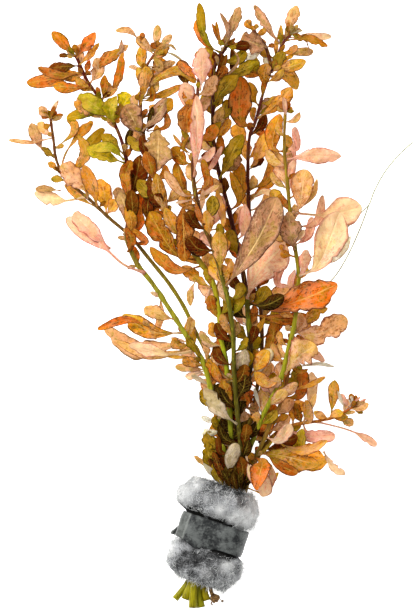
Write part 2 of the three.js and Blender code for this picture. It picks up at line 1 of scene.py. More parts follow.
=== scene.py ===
"""A bunch of cut ludwigia stems, padded with filter wool and held by a strip of lead.

It lies on a pale surface and is seen from above. Metres, +Z up, +Y towards the leafy tips.
"""
import math
import random

import bpy
import numpy as np
from mathutils import Matrix, Vector, noise


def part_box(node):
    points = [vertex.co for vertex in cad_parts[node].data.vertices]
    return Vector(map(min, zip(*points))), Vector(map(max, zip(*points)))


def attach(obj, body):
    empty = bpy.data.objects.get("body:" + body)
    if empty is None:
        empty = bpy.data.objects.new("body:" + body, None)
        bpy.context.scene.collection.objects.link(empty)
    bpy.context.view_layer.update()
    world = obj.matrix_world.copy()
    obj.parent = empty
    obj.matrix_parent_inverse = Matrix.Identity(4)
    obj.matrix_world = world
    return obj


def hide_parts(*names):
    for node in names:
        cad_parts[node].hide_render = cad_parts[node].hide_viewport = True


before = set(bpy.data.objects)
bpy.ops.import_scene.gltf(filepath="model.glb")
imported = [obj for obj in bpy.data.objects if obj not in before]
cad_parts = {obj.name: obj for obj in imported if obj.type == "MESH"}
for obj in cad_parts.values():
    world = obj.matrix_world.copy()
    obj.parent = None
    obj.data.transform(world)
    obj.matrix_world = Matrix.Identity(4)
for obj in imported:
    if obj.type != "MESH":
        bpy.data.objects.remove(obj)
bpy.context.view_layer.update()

# Camera. It looks straight down, with the leafy tips at the top of the picture. Every route below
# is drawn on a grid of squares as the camera sees them, with a height in millimetres, and the
# grid is laid on the frame by the root knot, whose place on it is known.
SQUARE = 0.0004
MM = 0.001
PICTURE_SIZE = (416, 611)
KNOT_ON_GRID = (215, 599)
knot_low, knot_high = (Vector(corner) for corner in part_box("root_knot"))
knot_middle = (knot_low + knot_high) / 2


def at(across, down, height):
    """The place in the frame of a point on the drawing grid."""
    x = knot_middle.x + (across - KNOT_ON_GRID[0]) * SQUARE
    y = knot_middle.y - (down - KNOT_ON_GRID[1]) * SQUARE
    return Vector((x, y, height * MM))


LENS = 400
SENSOR = 36
MIDDLE_HEIGHT = 18
camera_data = bpy.data.cameras.new("overhead_camera")
camera_data.lens = LENS
camera_data.sensor_width = SENSOR
camera_data.clip_end = 20
camera = bpy.data.objects.new("overhead_camera", camera_data)
camera.location = at(PICTURE_SIZE[0] / 2, PICTURE_SIZE[1] / 2, MIDDLE_HEIGHT)
camera.location.z += LENS / SENSOR * PICTURE_SIZE[1] * SQUARE
bpy.context.scene.collection.objects.link(camera)
bpy.context.scene.camera = camera
bpy.context.scene.view_settings.view_transform = "Standard"

# Surface and light. A glowing white light table under a large white tent, with one soft lamp at
# the upper left, so that light comes through the leaves and hardly any shadow falls.
FLOOR_HALF_WIDTH = 3.0
FLOOR_DROP = 0.05 * MM
corners = ((-1, -1), (1, -1), (1, 1), (-1, 1))
floor_mesh = bpy.data.meshes.new("studio_floor")
floor_mesh.from_pydata(
    [(x * FLOOR_HALF_WIDTH, y * FLOOR_HALF_WIDTH, -FLOOR_DROP) for x, y in corners],
    [],
    [(0, 1, 2, 3)],
)
floor_material = bpy.data.materials.new("light_table")
floor_material.use_nodes = True
floor_shader = floor_material.node_tree.nodes["Principled BSDF"]
floor_shader.inputs["Base Color"].default_value = (0.93, 0.93, 0.93, 1)
floor_shader.inputs["Roughness"].default_value = 0.9
floor_shader.inputs["Specular IOR Level"].default_value = 0.1
floor_shader.inputs["Emission Color"].default_value = (1, 1, 1, 1)
floor_shader.inputs["Emission Strength"].default_value = 1.0
floor_mesh.materials.append(floor_material)
floor = bpy.data.objects.new("studio_floor", floor_mesh)
bpy.context.scene.collection.objects.link(floor)

tent = bpy.data.worlds.new("studio_tent")
tent.use_nodes = True
tent.node_tree.nodes["Background"].inputs["Color"].default_value = (1, 1, 1, 1)
tent.node_tree.nodes["Background"].inputs["Strength"].default_value = 0.68
bpy.context.scene.world = tent

lamp_data = bpy.data.lights.new("soft_lamp", "AREA")
lamp_data.shape = "SQUARE"
lamp_data.size = 0.7
lamp_data.energy = 25
lamp = bpy.data.objects.new("soft_lamp", lamp_data)
lamp.location = (-0.7, 0.6, 1.0)
lamp.rotation_euler = (Vector((0, 0, 0)) - lamp.location).to_track_quat("-Z", "Y").to_euler()
bpy.context.scene.collection.objects.link(lamp)


# Filter wool. A pad of grey spun polyester wound round the stems, squeezed by the strip into two
# lumpy bulges and flat where it lies. It is made as a closed ring with a lumpy skin, and loose
# fibres lie on it and stand out of it.

# Lengths are in millimetres here, and the middle of the bundle is on the drawing grid.
BUNDLE_TURN = math.radians(19.1)
BUNDLE_MIDDLE = (212.6, 534.25)
BUNDLE_HEIGHT = 12
WOOL_HEIGHT = 11.2
WOOL_FLATNESS = 0.72
WOOL_HOLE_HALF_WIDTH = 8
WOOL_HOLE_CENTRE = 1.8
WOOL_HOLE_ENDS = (-20.2, 19.6)
WOOL_LEAN = 1.9
WOOL_AROUND = 120
WOOL_RINGS = 84
WOOL_HOLE_RINGS = 12
# The strip squeezes the lumps away this far from the wool's middle, and they rise again beyond it.
WAIST_HALF_LENGTH = 4.6
WAIST_EASE = 3
LOWEST_POINT = 0.02 * MM
# Places on the drawing grid, radii in millimetres and shares of the colour there.
WHITE_TUFTS = [
    (182, 492, 6, 0.5), (196, 484, 3, 0.6), (221, 510, 4, 0.8), (250, 516, 10, 0.7),
    (170, 549, 4, 0.7), (226, 564, 4, 0.7), (236, 524, 6, 0.4), (206, 572, 3, 0.4),
]
GREY_PATCHES = [
    (239, 502, 3, 0.6), (246, 505, 3, 0.5), (196, 556, 10, 1), (205, 561, 4, 0.7),
    (219, 555, 5, 0.9), (211, 499, 6, 0.5),
]
# Painted shadow: near-black patches at the mouth of the bundle, where the stems go into the wool.
MOUTH_SHADOW = [(216, 482, 3.2, 1), (226, 487, 3.6, 1), (238, 492, 3.4, 1)]
# Places along the bundle and the wool's half width there, in millimetres.
WOOL_OUTLINE = [
    (19.8, 8.2), (19.9, 11), (17.8, 14.4), (13, 17.4), (8.6, 16.8), (6.3, 13.6), (5.2, 11.6),
    (0, 11.3), (-5.2, 11.6), (-6.3, 13.4), (-9, 15.8), (-13, 15.4), (-17.5, 13), (-20.4, 10.4),
    (-20.4, 8.2),
]


def colour(code):
    """A colour written as 0xRRGGBB, as the linear values that shaders take."""
    parts = [((code >> shift) & 255) / 255 for shift in (16, 8, 0)]
    return tuple(p / 12.92 if p <= 0.04045 else ((p + 0.055) / 1.055) ** 2.4 for p in parts) + (1,)


class Shade:
    """A socket of a shader tree, so that shader maths reads as plain arithmetic."""

    def __init__(self, tree, socket=None):
        self.tree = tree
        self.socket = socket

    def node(self, kind, settings=None, inputs=None, output=0):
        """A new node, with its settings set first and then its sockets' values or links."""
        made = self.tree.nodes.new(kind)
        for name, value in (settings or {}).items():
            if name == "stops":
                ramp = made.color_ramp.elements
                while len(ramp) < len(value):
                    ramp.new(0.5)
                for element, (position, stop_colour) in zip(ramp, value):
                    element.position = position
                    element.color = stop_colour
            else:
                setattr(made, name, value)
        for key, value in (inputs or {}).items():
            if isinstance(value, Shade):
                self.tree.links.new(value.socket, made.inputs[key])
            else:
                made.inputs[key].default_value = value
        return Shade(self.tree, made.outputs[output])

    def math(self, operation, *values):
        return self.node("ShaderNodeMath", {"operation": operation}, dict(enumerate(values)))

    def __add__(self, other):
        return self.math("ADD", self, other)

    def __sub__(self, other):
        return self.math("SUBTRACT", self, other)

    def __rsub__(self, other):
        return self.math("SUBTRACT", other, self)

    def __mul__(self, other):
        return self.math("MULTIPLY", self, other)

    def __abs__(self):
        return self.math("ABSOLUTE", self)

    __radd__ = __add__
    __rmul__ = __mul__

    def rising(self, low, high):
        """0 below low, 1 above high, and smooth between them. It falls where low is over high."""
        settings = {"interpolation_type": "SMOOTHSTEP"}
        sockets = {0: self, 1: min(low, high), 2: max(low, high), 3: 0.0, 4: 1.0}
        if low > high:
            sockets.update({3: 1.0, 4: 0.0})
        return self.node("ShaderNodeMapRange", settings, sockets)

    def mix(self, first, second):
        """The first colour where this is 0 and the second where it is 1."""
        settings = {"data_type": "RGBA"}
        return self.node("ShaderNodeMix", settings, {0: self, 6: first, 7: second}, 2)

    def noise(self, place, scale, detail=3.0, roughness=0.55, distortion=0.0):
        sockets = {
            "Vector": place, "Scale": scale, "Detail": detail, "Roughness": roughness,
            "Distortion": distortion,
        }
        return self.node("ShaderNodeTexNoise", None, sockets)

    def place(self):
        """The point on the piece, in metres."""
        return self.node("ShaderNodeTexCoord", output=3)

    def part(self, index):
        """One of the three numbers of a vector."""
        return self.node("ShaderNodeSeparateXYZ", None, {0: self}, index)

    def spread(self, gain):
        """Noise, which keeps close to a half, stretched about nought."""
        return (self - 0.5) * gain

    def feed(self, shader, socket):
        self.tree.links.new(self.socket, shader.inputs[socket])

    def emboss(self, shader, strength, depth):
        """Raises the shader's surface by this height, and gives its normal back."""
        sockets = {"Strength": strength, "Distance": depth, "Height": self}
        normal = self.node("ShaderNodeBump", None, sockets)
        normal.feed(shader, "Normal")
        return normal


def new_material(name, roughness=0.5, metallic=0.0, specular=0.5):
    material = bpy.data.materials.new(name)
    material.use_nodes = True
    shader = material.node_tree.nodes["Principled BSDF"]
    shader.inputs["Roughness"].default_value = roughness
    shader.inputs["Metallic"].default_value = metallic
    shader.inputs["Specular IOR Level"].default_value = specular
    return material, shader, Shade(material.node_tree)


def new_piece(name, vertices, faces, materials, replaced, uvs=None, material_numbers=None):
    """A smooth mesh piece that rides on the root body and stands for the CAD nodes replaced."""
    mesh = bpy.data.meshes.new(name)
    mesh.from_pydata([(x, y, max(z, LOWEST_POINT)) for x, y, z in vertices], [], faces)
    for material in materials:
        mesh.materials.append(material)
    for map_name, values in (uvs or {}).items():
        layer = mesh.uv_layers.new(name=map_name)
        corners = np.empty(len(mesh.loops), dtype=np.int32)
        mesh.loops.foreach_get("vertex_index", corners)
        layer.data.foreach_set("uv", np.asarray(values, dtype=np.float32)[corners].ravel())
    if material_numbers is not None:
        mesh.polygons.foreach_set("material_index", np.asarray(material_numbers, dtype=np.int32))
    mesh.polygons.foreach_set("use_smooth", np.ones(len(mesh.polygons), dtype=bool))
    mesh.validate()
    mesh.update()
    piece = bpy.data.objects.new(name, mesh)
    bpy.context.scene.collection.objects.link(piece)
    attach(piece, "root")
    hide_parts(*replaced)


def softened(points, times):
    """A line of points with its corners cut off again and again, so that it runs smoothly."""
    line = np.asarray(points, dtype=float)
    for _ in range(times):
        cut = np.empty((2 * len(line), line.shape[1]))
        cut[0] = line[0]
        cut[-1] = line[-1]
        cut[1:-1:2] = 0.75 * line[:-1] + 0.25 * line[1:]
        cut[2:-1:2] = 0.25 * line[:-1] + 0.75 * line[1:]
        line = cut
    return line


def evenly(line, count):
    """The same line with count points at even steps along it."""
    steps = np.linalg.norm(np.diff(line, axis=0), axis=1)
    travelled = np.concatenate([[0], np.cumsum(steps)])
    wanted = np.linspace(0, travelled[-1], count)
    return np.stack([np.interp(wanted, travelled, column) for column in line.T], axis=1)


def rings_to_faces(rings, around, capped=True):
    """Quads between rings of vertices, and a face over each end unless the rings form a loop."""
    faces = []
    for ring in range(rings - 1 if capped else rings):
        here = ring * around
        there = ((ring + 1) % rings) * around
        for i in range(around):
            j = (i + 1) % around
            faces.append((here + i, here + j, there + j, there + i))
    if capped:
        faces.append(tuple(reversed(range(around))))
        faces.append(tuple((rings - 1) * around + i for i in range(around)))
    return faces


def beside_bundle(across, along, height):
    """A place by its distances across and along the bundle and its height, in millimetres."""
    turned = Matrix.Rotation(-BUNDLE_TURN, 2) @ Vector((across, along))
    middle = at(*BUNDLE_MIDDLE, height)
    return Vector((middle.x + turned.x * MM, middle.y + turned.y * MM, middle.z))


wool_random = random.Random(7)
wool_axis = Vector((math.sin(BUNDLE_TURN), math.cos(BUNDLE_TURN), 0))
side_axis = Vector((math.cos(BUNDLE_TURN), -math.sin(BUNDLE_TURN), 0))
outer = evenly(softened(WOOL_OUTLINE, 2), WOOL_RINGS)
inner = [(along, WOOL_HOLE_HALF_WIDTH) for along in np.linspace(*WOOL_HOLE_ENDS, WOOL_HOLE_RINGS)]
wool_vertices = []
for ring, (along, half_width) in enumerate([*outer, *inner]):
    inside = ring >= len(outer)
    nearness = 1.0 if inside else max(0.0, 1 - (half_width - WOOL_HOLE_HALF_WIDTH) / 4)
    for i in range(WOOL_AROUND):
        angle = 2 * math.pi * i / WOOL_AROUND
        across = WOOL_HOLE_CENTRE * nearness + half_width * math.cos(angle)
        lift = half_width * math.sin(angle) * WOOL_FLATNESS
        seat = Vector((across, along, lift))
        if not inside:
            out = Vector((math.cos(angle), 0, math.sin(angle)))
            squeezed = min(1.0, max(0.12, (abs(along) - WAIST_HALF_LENGTH) / WAIST_EASE))
            lumps = 1.5 * noise.noise(seat * 0.16) + 0.8 * noise.noise(seat * 0.42 + Vector((9, 0, 0)))
            lumps += 0.35 * noise.noise(seat * 1.3)
            seat += out * lumps * squeezed
            seat.x -= WOOL_LEAN * min(1.0, max(-0.35, (along - 1) / 8)) * (1 - nearness)
        height = max(0.05, WOOL_HEIGHT + seat.z + (BUNDLE_HEIGHT - WOOL_HEIGHT) * nearness)
        wool_vertices.append(beside_bundle(seat.x, seat.y, height))

wool_material, wool_shader, shade = new_material("grey_filter_wool", roughness=0.95, specular=0.15)
place = shade.place()
tufts = shade.noise(place, 150, 4, 0.6, 0.5)
strands = shade.noise(place, 2200, 3, 0.7, 1.0)
specks = shade.noise(place, 1100, 2, 0.5)
flat_place = shade.node("ShaderNodeVectorMath", {"operation": "MULTIPLY"}, {0: place, 1: (1, 1, 0)})


def near(across, down, radius):
    """How near the wool's skin is to a point of the drawing grid: 1 there, 0 a radius away."""
    point = at(across, down, 0)
    apart = shade.node(
        "ShaderNodeVectorMath", {"operation": "DISTANCE"}, {0: flat_place, 1: (point.x, point.y, 0)}, 1
    )
    return (apart * 1000 + tufts.spread(radius * 1.8) + strands.spread(7)).rising(radius * 1.1, 0)


def patched(base, patches, code):
    """The base colour with soft patches of another colour at places of the drawing grid."""
    for across, down, radius, share in patches:
        base = (near(across, down, radius) * share).mix(base, colour(code))
    return base


def from_bundle(shade, place):
    """The place as measured from the bundle's middle, across it and along it."""
    middle = beside_bundle(0, 0, 0)
    return shade.node("ShaderNodeMapping", None, {
        "Vector": place, "Location": (-side_axis.dot(middle), -wool_axis.dot(middle), 0),
        "Rotation": (0, 0, BUNDLE_TURN),
    })


tone = (tufts * 0.45 + strands * 0.55).rising(0.43, 0.57)
wool_colour = tone.mix(colour(0x48494a), colour(0xa2a3a4))
wool_colour = specks.rising(0.36, 0.29).mix(wool_colour, colour(0x4b4a48))
wool_colour = patched(wool_colour, WHITE_TUFTS, 0xeaeae8)
wool_colour = patched(wool_colour, GREY_PATCHES, 0x161616)
# Painted light: low on its sides the wool is mixed towards white, for the light that the table below would
# throw on it.
painted_light_low_sides = (place.part(2) * 1000 + tufts.spread(8)).rising(15.5, 9.5)
wool_colour = (painted_light_low_sides * 0.65).mix(wool_colour, colour(0xe8e8e7))
# Painted shadow in the mouth of the bundle.
wool_colour = patched(wool_colour, MOUTH_SHADOW, 0x0c0a06)
# Painted shadow: the wool turns near black in a band along each edge of the strip, where it tucks under
# the lead, but not on the side where it laps over the strip.
spot = from_bundle(shade, place)
from_strip = abs(spot.part(1) * 1000) + tufts.spread(9)
strip_shadow_side = (spot.part(0) * 1000 * shade.math("SIGN", spot.part(1)) + tufts.spread(6)).rising(9.5, 6)
wool_colour = (from_strip.rising(7.9, 5.8) * strip_shadow_side).mix(wool_colour, colour(0x100f0d))
wool_colour.feed(wool_shader, "Base Color")
(strands * 0.7 + specks * 0.5).emboss(wool_shader, 0.8, 0.4 * MM)
new_piece(
    "wool_pad", wool_vertices,
    rings_to_faces(len(outer) + len(inner), WOOL_AROUND, capped=False),
    [wool_material], ["filter_wool"],
)


def fibre_material(name, code):
    material, shader, fibre = new_material(name, roughness=0.7, specular=0.3)
    shine = fibre.noise(fibre.place(), 700, 2)
    pale = tuple(min(1, 1.35 * part) for part in colour(code)[:3]) + (1,)
    shine.rising(0.35, 0.65).mix(colour(code), pale).feed(shader, "Base Color")
    return material


def thin_tube(points, radius, sides, vertices, faces):
    """Adds a closed tube through the points to the lists of vertices and faces."""
    first = len(vertices)
    for i, point in enumerate(points):
        ahead = points[min(i + 1, len(points) - 1)] - points[max(i - 1, 0)]
        ahead.normalize()
        side = ahead.orthogonal().normalized()
        up = ahead.cross(side)
        for k in range(sides):
            angle = 2 * math.pi * k / sides
            vertices.append(point + radius * (math.cos(angle) * side + math.sin(angle) * up))
    count = len(points)
    faces.extend(
        tuple(first + v for v in face) for face in rings_to_faces(count, sides)
    )


FIBRES = 11500
FIBRE_STEPS = 3
FIBRE_RADIUS = 0.03 * MM
FIBRE_SIDES = 3
FIBRE_LENGTHS = (0.8, 2.6)
STANDING_SHARE = 0.4
# How many fibres of each shade there are to one dark one: white, grey and dark.
SHADE_SHARES = (7, 4, 1)
# How near to the strip's middle a fibre comes, in millimetres, also where wool laps over its edge.
STRIP_CLEARANCE = 6.2
LAP_CLEARANCE = 4.3
LAP_REACH = 9.5
LAP_SIDE = -6.5
wool_middle = beside_bundle(0, 0, WOOL_HEIGHT)
outer_vertices = wool_vertices[: len(outer) * WOOL_AROUND]
fibre_vertices, fibre_faces, fibre_shades = [], [], []
for _ in range(FIBRES):
    row = wool_random.randrange(len(outer))
    if abs(outer[row][0]) < STRIP_CLEARANCE:
        continue
    start = outer_vertices[row * WOOL_AROUND + wool_random.randrange(WOOL_AROUND)]
    axis_point = beside_bundle(0, outer[row][0], WOOL_HEIGHT)
    out = (start - axis_point).normalized()
    heading = Vector([wool_random.gauss(0, 1) for _ in range(3)])
    heading = (heading - heading.dot(out) * out).normalized()
    towards_strip = math.copysign(1, -outer[row][0])
    beside = (start - axis_point).dot(side_axis) * towards_strip
    laps = abs(outer[row][0]) < LAP_REACH and beside < LAP_SIDE * MM
    clearance = LAP_CLEARANCE if laps else STRIP_CLEARANCE
    heading = (heading + (1.2 if laps else 0) * towards_strip * wool_axis).normalized()
    length = wool_random.uniform(*FIBRE_LENGTHS) * MM
    step = length / FIBRE_STEPS
    if wool_random.random() < STANDING_SHARE:
        heading = (heading + out * wool_random.uniform(0.4, 1.4)).normalized()
    rise = wool_random.uniform(0.0, 0.35) ** 1.4
    bend = Vector([wool_random.gauss(0, 0.9) for _ in range(3)])
    point = start + out * wool_random.uniform(-0.1, 0.5) * MM
    points = [point.copy()]
    for _ in range(FIBRE_STEPS):
        fall = (point - axis_point).normalized()
        heading = (heading + 0.25 * bend + 0.12 * rise * fall - 0.10 * fall).normalized()
        point = point + heading * step
        if abs(wool_axis.dot(point - wool_middle)) < clearance * MM:
            break
        point.z = max(point.z, 0.1 * MM)
        points.append(point.copy())
    if len(points) < 3:
        continue
    before = len(fibre_faces)
    radius = FIBRE_RADIUS * wool_random.uniform(0.7, 1.7)
    thin_tube(points, radius, FIBRE_SIDES, fibre_vertices, fibre_faces)
    shade_number = wool_random.choices((0, 1, 2), SHADE_SHARES)[0]
    # Fibres in the grey patches and in the painted mouth shadow are made dark.
    for across, down, patch_radius, share in [*GREY_PATCHES, *MOUTH_SHADOW]:
        patch = at(across, down, 0)
        apart = math.hypot(start.x - patch.x, start.y - patch.y) / (patch_radius * MM)
        if apart < 0.8 and row % 5 and share > 0.5:
            shade_number = 2
    fibre_shades.extend([shade_number] * (len(fibre_faces) - before))
new_piece(
    "wool_fibres", fibre_vertices, fibre_faces,
    [
        fibre_material("white_fibre", 0xd0d1cf), fibre_material("grey_fibre", 0x9c9e9d),
        fibre_material("dark_fibre", 0x424241),
    ],
    ["filter_wool"], material_numbers=fibre_shades,
)


# Lead strip. Soft grey sheet lead about a millimetre thick, cut with shears and bent round the waist
# of the wool by hand, with a sharp fold at its upper left, dents along its face and its other end
# sticking out below.
STRIP_HALF_LENGTH = 5.2
STRIP_THICKNESS = 0.9
STRIP_LINE = [
    (-15.6, -2.4), (-13.6, -4.8), (-10.6, -7.6), (-5, -9.0), (2, -9.3), (8.6, -8.2), (12.3, -5.4),
    (13.5, -1), (13.3, 4), (11.8, 7.6), (7.6, 9.2), (0, 9.5), (-7, 9.75), (-10.5, 9.65),
    (-13.3, 8.4), (-13.7, 7.4), (-13.8, 4), (-13.5, 1),
]
STRIP_ROWS = 22
STRIP_STEPS = 110
EDGE_BEVEL = 0.14
# One end is cut to a slant, and the lower edge sags to the left of the middle.
SLANT_STEPS = 12
SLANT_PLACE = -4.9
SAG_DEPTH = 2.1
SAG_PLACE = -4.5
SAG_HALF_LENGTH = 5.5
strip_line = evenly(softened(STRIP_LINE, 2), STRIP_STEPS)
strip_vertices = []
for i, (across, lift) in enumerate(strip_line):
    before = strip_line[max(0, i - 1)]
    after = strip_line[min(len(strip_line) - 1, i + 1)]
    ahead = (after - before) / np.linalg.norm(after - before)
    out = np.array([ahead[1], -ahead[0]])
    face = 1.0 if lift > 7 else 0.0
    ring = []
    for side in (1, -1):
        for row in range(STRIP_ROWS + 1):
            share = 2 * row / STRIP_ROWS - 1
            from_sag = (across - SAG_PLACE) / SAG_HALF_LENGTH
            sag = SAG_DEPTH * math.exp(-(from_sag ** 2)) * face if share < 0 else 0.0
            wander = 0.25 * noise.noise(Vector((across * 0.35, share * 2, lift * 0.35)))
            along = share * (STRIP_HALF_LENGTH + sag) + wander
            cut_slant = max(0.0, 1 - i / SLANT_STEPS)
            along += cut_slant * (SLANT_PLACE + 0.7 * share - along)
            spot = Vector((across, along, lift))
            dent = 0.3 * noise.noise(spot * 0.2) + 0.1 * noise.noise(spot * 0.8)
            curl = 0.2 * share * share
            reach = side * STRIP_THICKNESS / 2 + dent - curl
            reach -= side * (EDGE_BEVEL if abs(share) > 0.97 else 0.0)
            x, z = across + out[0] * reach, lift + out[1] * reach
            ring.append(beside_bundle(x, along, WOOL_HEIGHT + z))
    half = STRIP_ROWS + 1
    strip_vertices.extend(ring[:half] + list(reversed(ring[half:])))

lead_material, lead_shader, shade = new_material("dull_sheet_lead", 0.5, 0.2, 0.3)
place = shade.place()
cloud = shade.noise(place, 260, 4, 0.6)
smear = shade.noise(place, 900, 3, 0.6, 0.4)
stretched = shade.node(
    "ShaderNodeMapping", None,
    {"Vector": place, "Rotation": (0, 0, BUNDLE_TURN), "Scale": (1, 9, 1)},
)
scratches = shade.noise(stretched, 700, 4, 0.7)
lead_colour = cloud.rising(0.38, 0.64).mix(colour(0x17191a), colour(0x5a5d5b))
lead_colour = (smear.rising(0.5, 0.66) * 0.5).mix(lead_colour, colour(0x666966))
lead_colour = (scratches.rising(0.46, 0.34) * 0.8).mix(lead_colour, colour(0x1c1e1d))
# Painted light: the face bent down beyond the fold at the upper left is lighter, and a painted highlight
# runs along the fold.
from_fold = from_bundle(shade, place).part(0) * 1000 + smear.spread(1.2) + 11
lead_colour = (from_fold.rising(0.5, -0.6) * 0.4).mix(lead_colour, colour(0x5e615c))
lead_colour = (abs(from_fold).rising(0.6, 0.1) * 0.5).mix(lead_colour, colour(0x7c7f7a))
lead_colour.feed(lead_shader, "Base Color")
(cloud * 0.3 + scratches * 0.3 + 0.22).feed(lead_shader, "Roughness")
(scratches * 0.5 + smear * 0.5).emboss(lead_shader, 0.5, 0.25 * MM)
new_piece(
    "lead_band", strip_vertices, rings_to_faces(len(strip_line), 2 * (STRIP_ROWS + 1)),
    [lead_material], ["lead_strip"],
)


# Root knot and rootlets. A hard brown curl of dead root at the cut ends, with a hair of root
# running on from it to a bead.
KNOT_RADIUS = 2 * MM
KNOT_RINGS = 26
ROOT_SIDES = 8
# Each rootlet's radius in millimetres and its route.
ROOTLETS = [
    (0.22, [(215, 597, 12.5), (218, 597, 11), (221, 601, 10.6), (222.5, 602, 10.4)]),
    (0.55, [(222, 601.5, 10.4), (223, 602.5, 10.2)]),
    (0.3, [(213, 601, 12), (211, 604, 11), (212.5, 606, 10.5)]),
    (0.8, [(210, 584, 12.5), (210.5, 590, 12.5), (213, 597, 12)]),
]


def bark_material(name, dark, light, scale):
    material, shader, bark = new_material(name, roughness=0.75, specular=0.3)
    grain = bark.noise(bark.place(), scale, 4, 0.65)
    grain.rising(0.35, 0.66).mix(colour(dark), colour(light)).feed(shader, "Base Color")
    grain.emboss(shader, 0.6, 0.3 * MM)
    return material


root_material = bark_material("brown_root", 0x341a08, 0xa27a44, 1300)
knot_vertices = []
for ring in range(KNOT_RINGS):
    tilt = math.pi * (ring + 0.5) / KNOT_RINGS
    for i in range(2 * KNOT_RINGS):
        turn = math.pi * i / KNOT_RINGS
        out = Vector((math.sin(tilt) * math.cos(turn), math.sin(tilt) * math.sin(turn), math.cos(tilt)))
        wrinkle = 0.3 * noise.noise(out * 2.2) + 0.14 * noise.noise(out * 7)
        knot_vertices.append(knot_middle + out * KNOT_RADIUS * (0.86 + wrinkle))
knot_faces = [tuple(reversed(face)) for face in rings_to_faces(KNOT_RINGS, 2 * KNOT_RINGS)]
for radius, rootlet in ROOTLETS:
    thin_tube([at(*point) for point in rootlet], radius * MM, ROOT_SIDES, knot_vertices, knot_faces)
new_piece("root_curl", knot_vertices, knot_faces, [root_material], ["root_knot"])


# Root threads. Two pale water roots, thin as a hair. They run out from under the right leaves, meet
# on the surface and trail off over it together.
ROOT_THREADS = [
    [
        (306, 262, 12), (335, 239, 9), (352, 223, 6), (363, 211, 3), (370, 204, 1), (375, 191, 0.6),
        (386, 171, 0.5), (400, 154, 0.5), (414, 141, 0.5),
    ],
    [(312, 296, 10), (333, 279, 8), (347, 258, 5), (361, 228, 2.4), (370, 204, 1)],
]
THREAD_RADIUS = 0.24 * MM
THREAD_STEPS = 70
CURVE_STEPS = 200


def curve_place(points, share):
    """The point at a share of the way along a smooth curve through the points."""
    last = len(points) - 1
    spot = min(max(share, 0.0), 1.0) * last
    here = min(int(spot), last - 1)
    weight = spot - here
    p1, p2 = points[here], points[here + 1]
    p0 = points[here - 1] if here > 0 else 2 * p1 - p2
    p3 = points[here + 2] if here + 2 <= last else 2 * p2 - p1
    d0, d1, d2 = (max((b - a).length_squared ** 0.25, 1e-5) for a, b in ((p0, p1), (p1, p2), (p2, p3)))
    m1 = ((p1 - p0) / d0 - (p2 - p0) / (d0 + d1) + (p2 - p1) / d1) * d1
    m2 = ((p2 - p1) / d1 - (p3 - p1) / (d1 + d2) + (p3 - p2) / d2) * d1
    w2, w3 = weight * weight, weight ** 3
    return (
        (2 * w3 - 3 * w2 + 1) * p1 + (w3 - 2 * w2 + weight) * m1
        + (3 * w2 - 2 * w3) * p2 + (w3 - w2) * m2
    )


def smooth_line(points, count):
    """count points at even steps along a smooth curve through the points."""
    fine = [curve_place(points, i / CURVE_STEPS) for i in range(CURVE_STEPS + 1)]
    return [Vector(point) for point in evenly(np.array(fine), count)]


thread_material = bark_material("pale_water_root", 0x7c7e58, 0xb0b28c, 900)
thread_vertices, thread_faces = [], []
for thread in ROOT_THREADS:
    line = smooth_line([at(*point) for point in thread], THREAD_STEPS)
    thin_tube(line, THREAD_RADIUS, ROOT_SIDES, thread_vertices, thread_faces)
new_piece(
    "water_roots", thread_vertices, thread_faces, [thread_material], ["root_threads"],
)


# Leaves. Broad and spoon-shaped, a fifth of a millimetre thick, thinning to a stalk, with a midrib
# that stands out below. They grew under strong light, so they run from lime and olive through
# orange to pink and dark red. Many have waves, torn edges and brown specks.

# For each tone: the blade, its dark patches, which also paint the shade in its creases, its light patches,
# its tip, its margin and its middle.
LEAF_COLOURS = {
    "amber": (0xde9e1c, 0x864a00, 0xfac890, 0xe4bc2c, 0x6a2800, 0xb8a200),
    "orange": (0xffbc3c, 0xc86a00, 0xffd4a0, 0xfcd830, 0x9a3c04, 0xe0b808),
    "salmon": (0xeec088, 0xbc6e2e, 0xffdcbe, 0xeac058, 0x923e1a, 0xceb030),
    "blush": (0xffd2aa, 0xea9e78, 0xffead0, 0xf8d8ac, 0xb86a50, 0xf0d488),
    "pink": (0xffc2a6, 0xe68872, 0xffdece, 0xf6cca0, 0xb4584a, 0xecc082),
    "copper": (0xe67e0c, 0x7c2600, 0xf4b274, 0xe8b41c, 0x521600, 0xb88800),
    "rust": (0xc26604, 0x5c1400, 0xeaa454, 0xd69c10, 0x360800, 0xa08000),
    "maroon": (0x641000, 0x200000, 0x96380a, 0x94500a, 0x160000, 0x583800),
    "olive": (0xa88800, 0x4c3800, 0xe2b644, 0xd2a010, 0x342400, 0x909200),
    "lime": (0xd4be02, 0x8e8800, 0xf6d864, 0xe6cc30, 0x705200, 0xa4a800),
    "tan": (0xdeb074, 0x925e1a, 0xfad6b0, 0xd6aa38, 0x683e0e, 0xb6a628),
    "mauve": (0xcc9a72, 0x804a2c, 0xf6caa6, 0xd0a65a, 0x5a2c1e, 0xac8e38),
    "cream": (0xfff8e2, 0xf2d8ae, 0xfffdf4, 0xf8e4a6, 0xb08454, 0xf4e09c),
    "faded": (0xd8c2a2, 0x9a8460, 0xf2e4ce, 0xd2bc7c, 0x80684a, 0xbeac76),
    "shadow": (0x2c0e00, 0x0c0000, 0x542002, 0x442a02, 0x0a0000, 0x2c2000),
}
# The share of light that passes a blade, and how much brighter and paler it comes out.
SEE_THROUGH = 0.6
GLOW_GAIN = 1.14
GLOW_PALENESS = 0.78
# Sizes across a leaf, in millimetres.
STALK_HALF_WIDTH = 0.5
RIM_THICKNESS = 0.05
BLADE_THICKNESS = 0.2
STALK_THICKNESS = 0.75
RIDGE_HEIGHT = 0.42
RIDGE_HALF_WIDTH = 0.4
MIDRIB_STEPS = 120
LOWEST_LEAF = 0.05 * MM
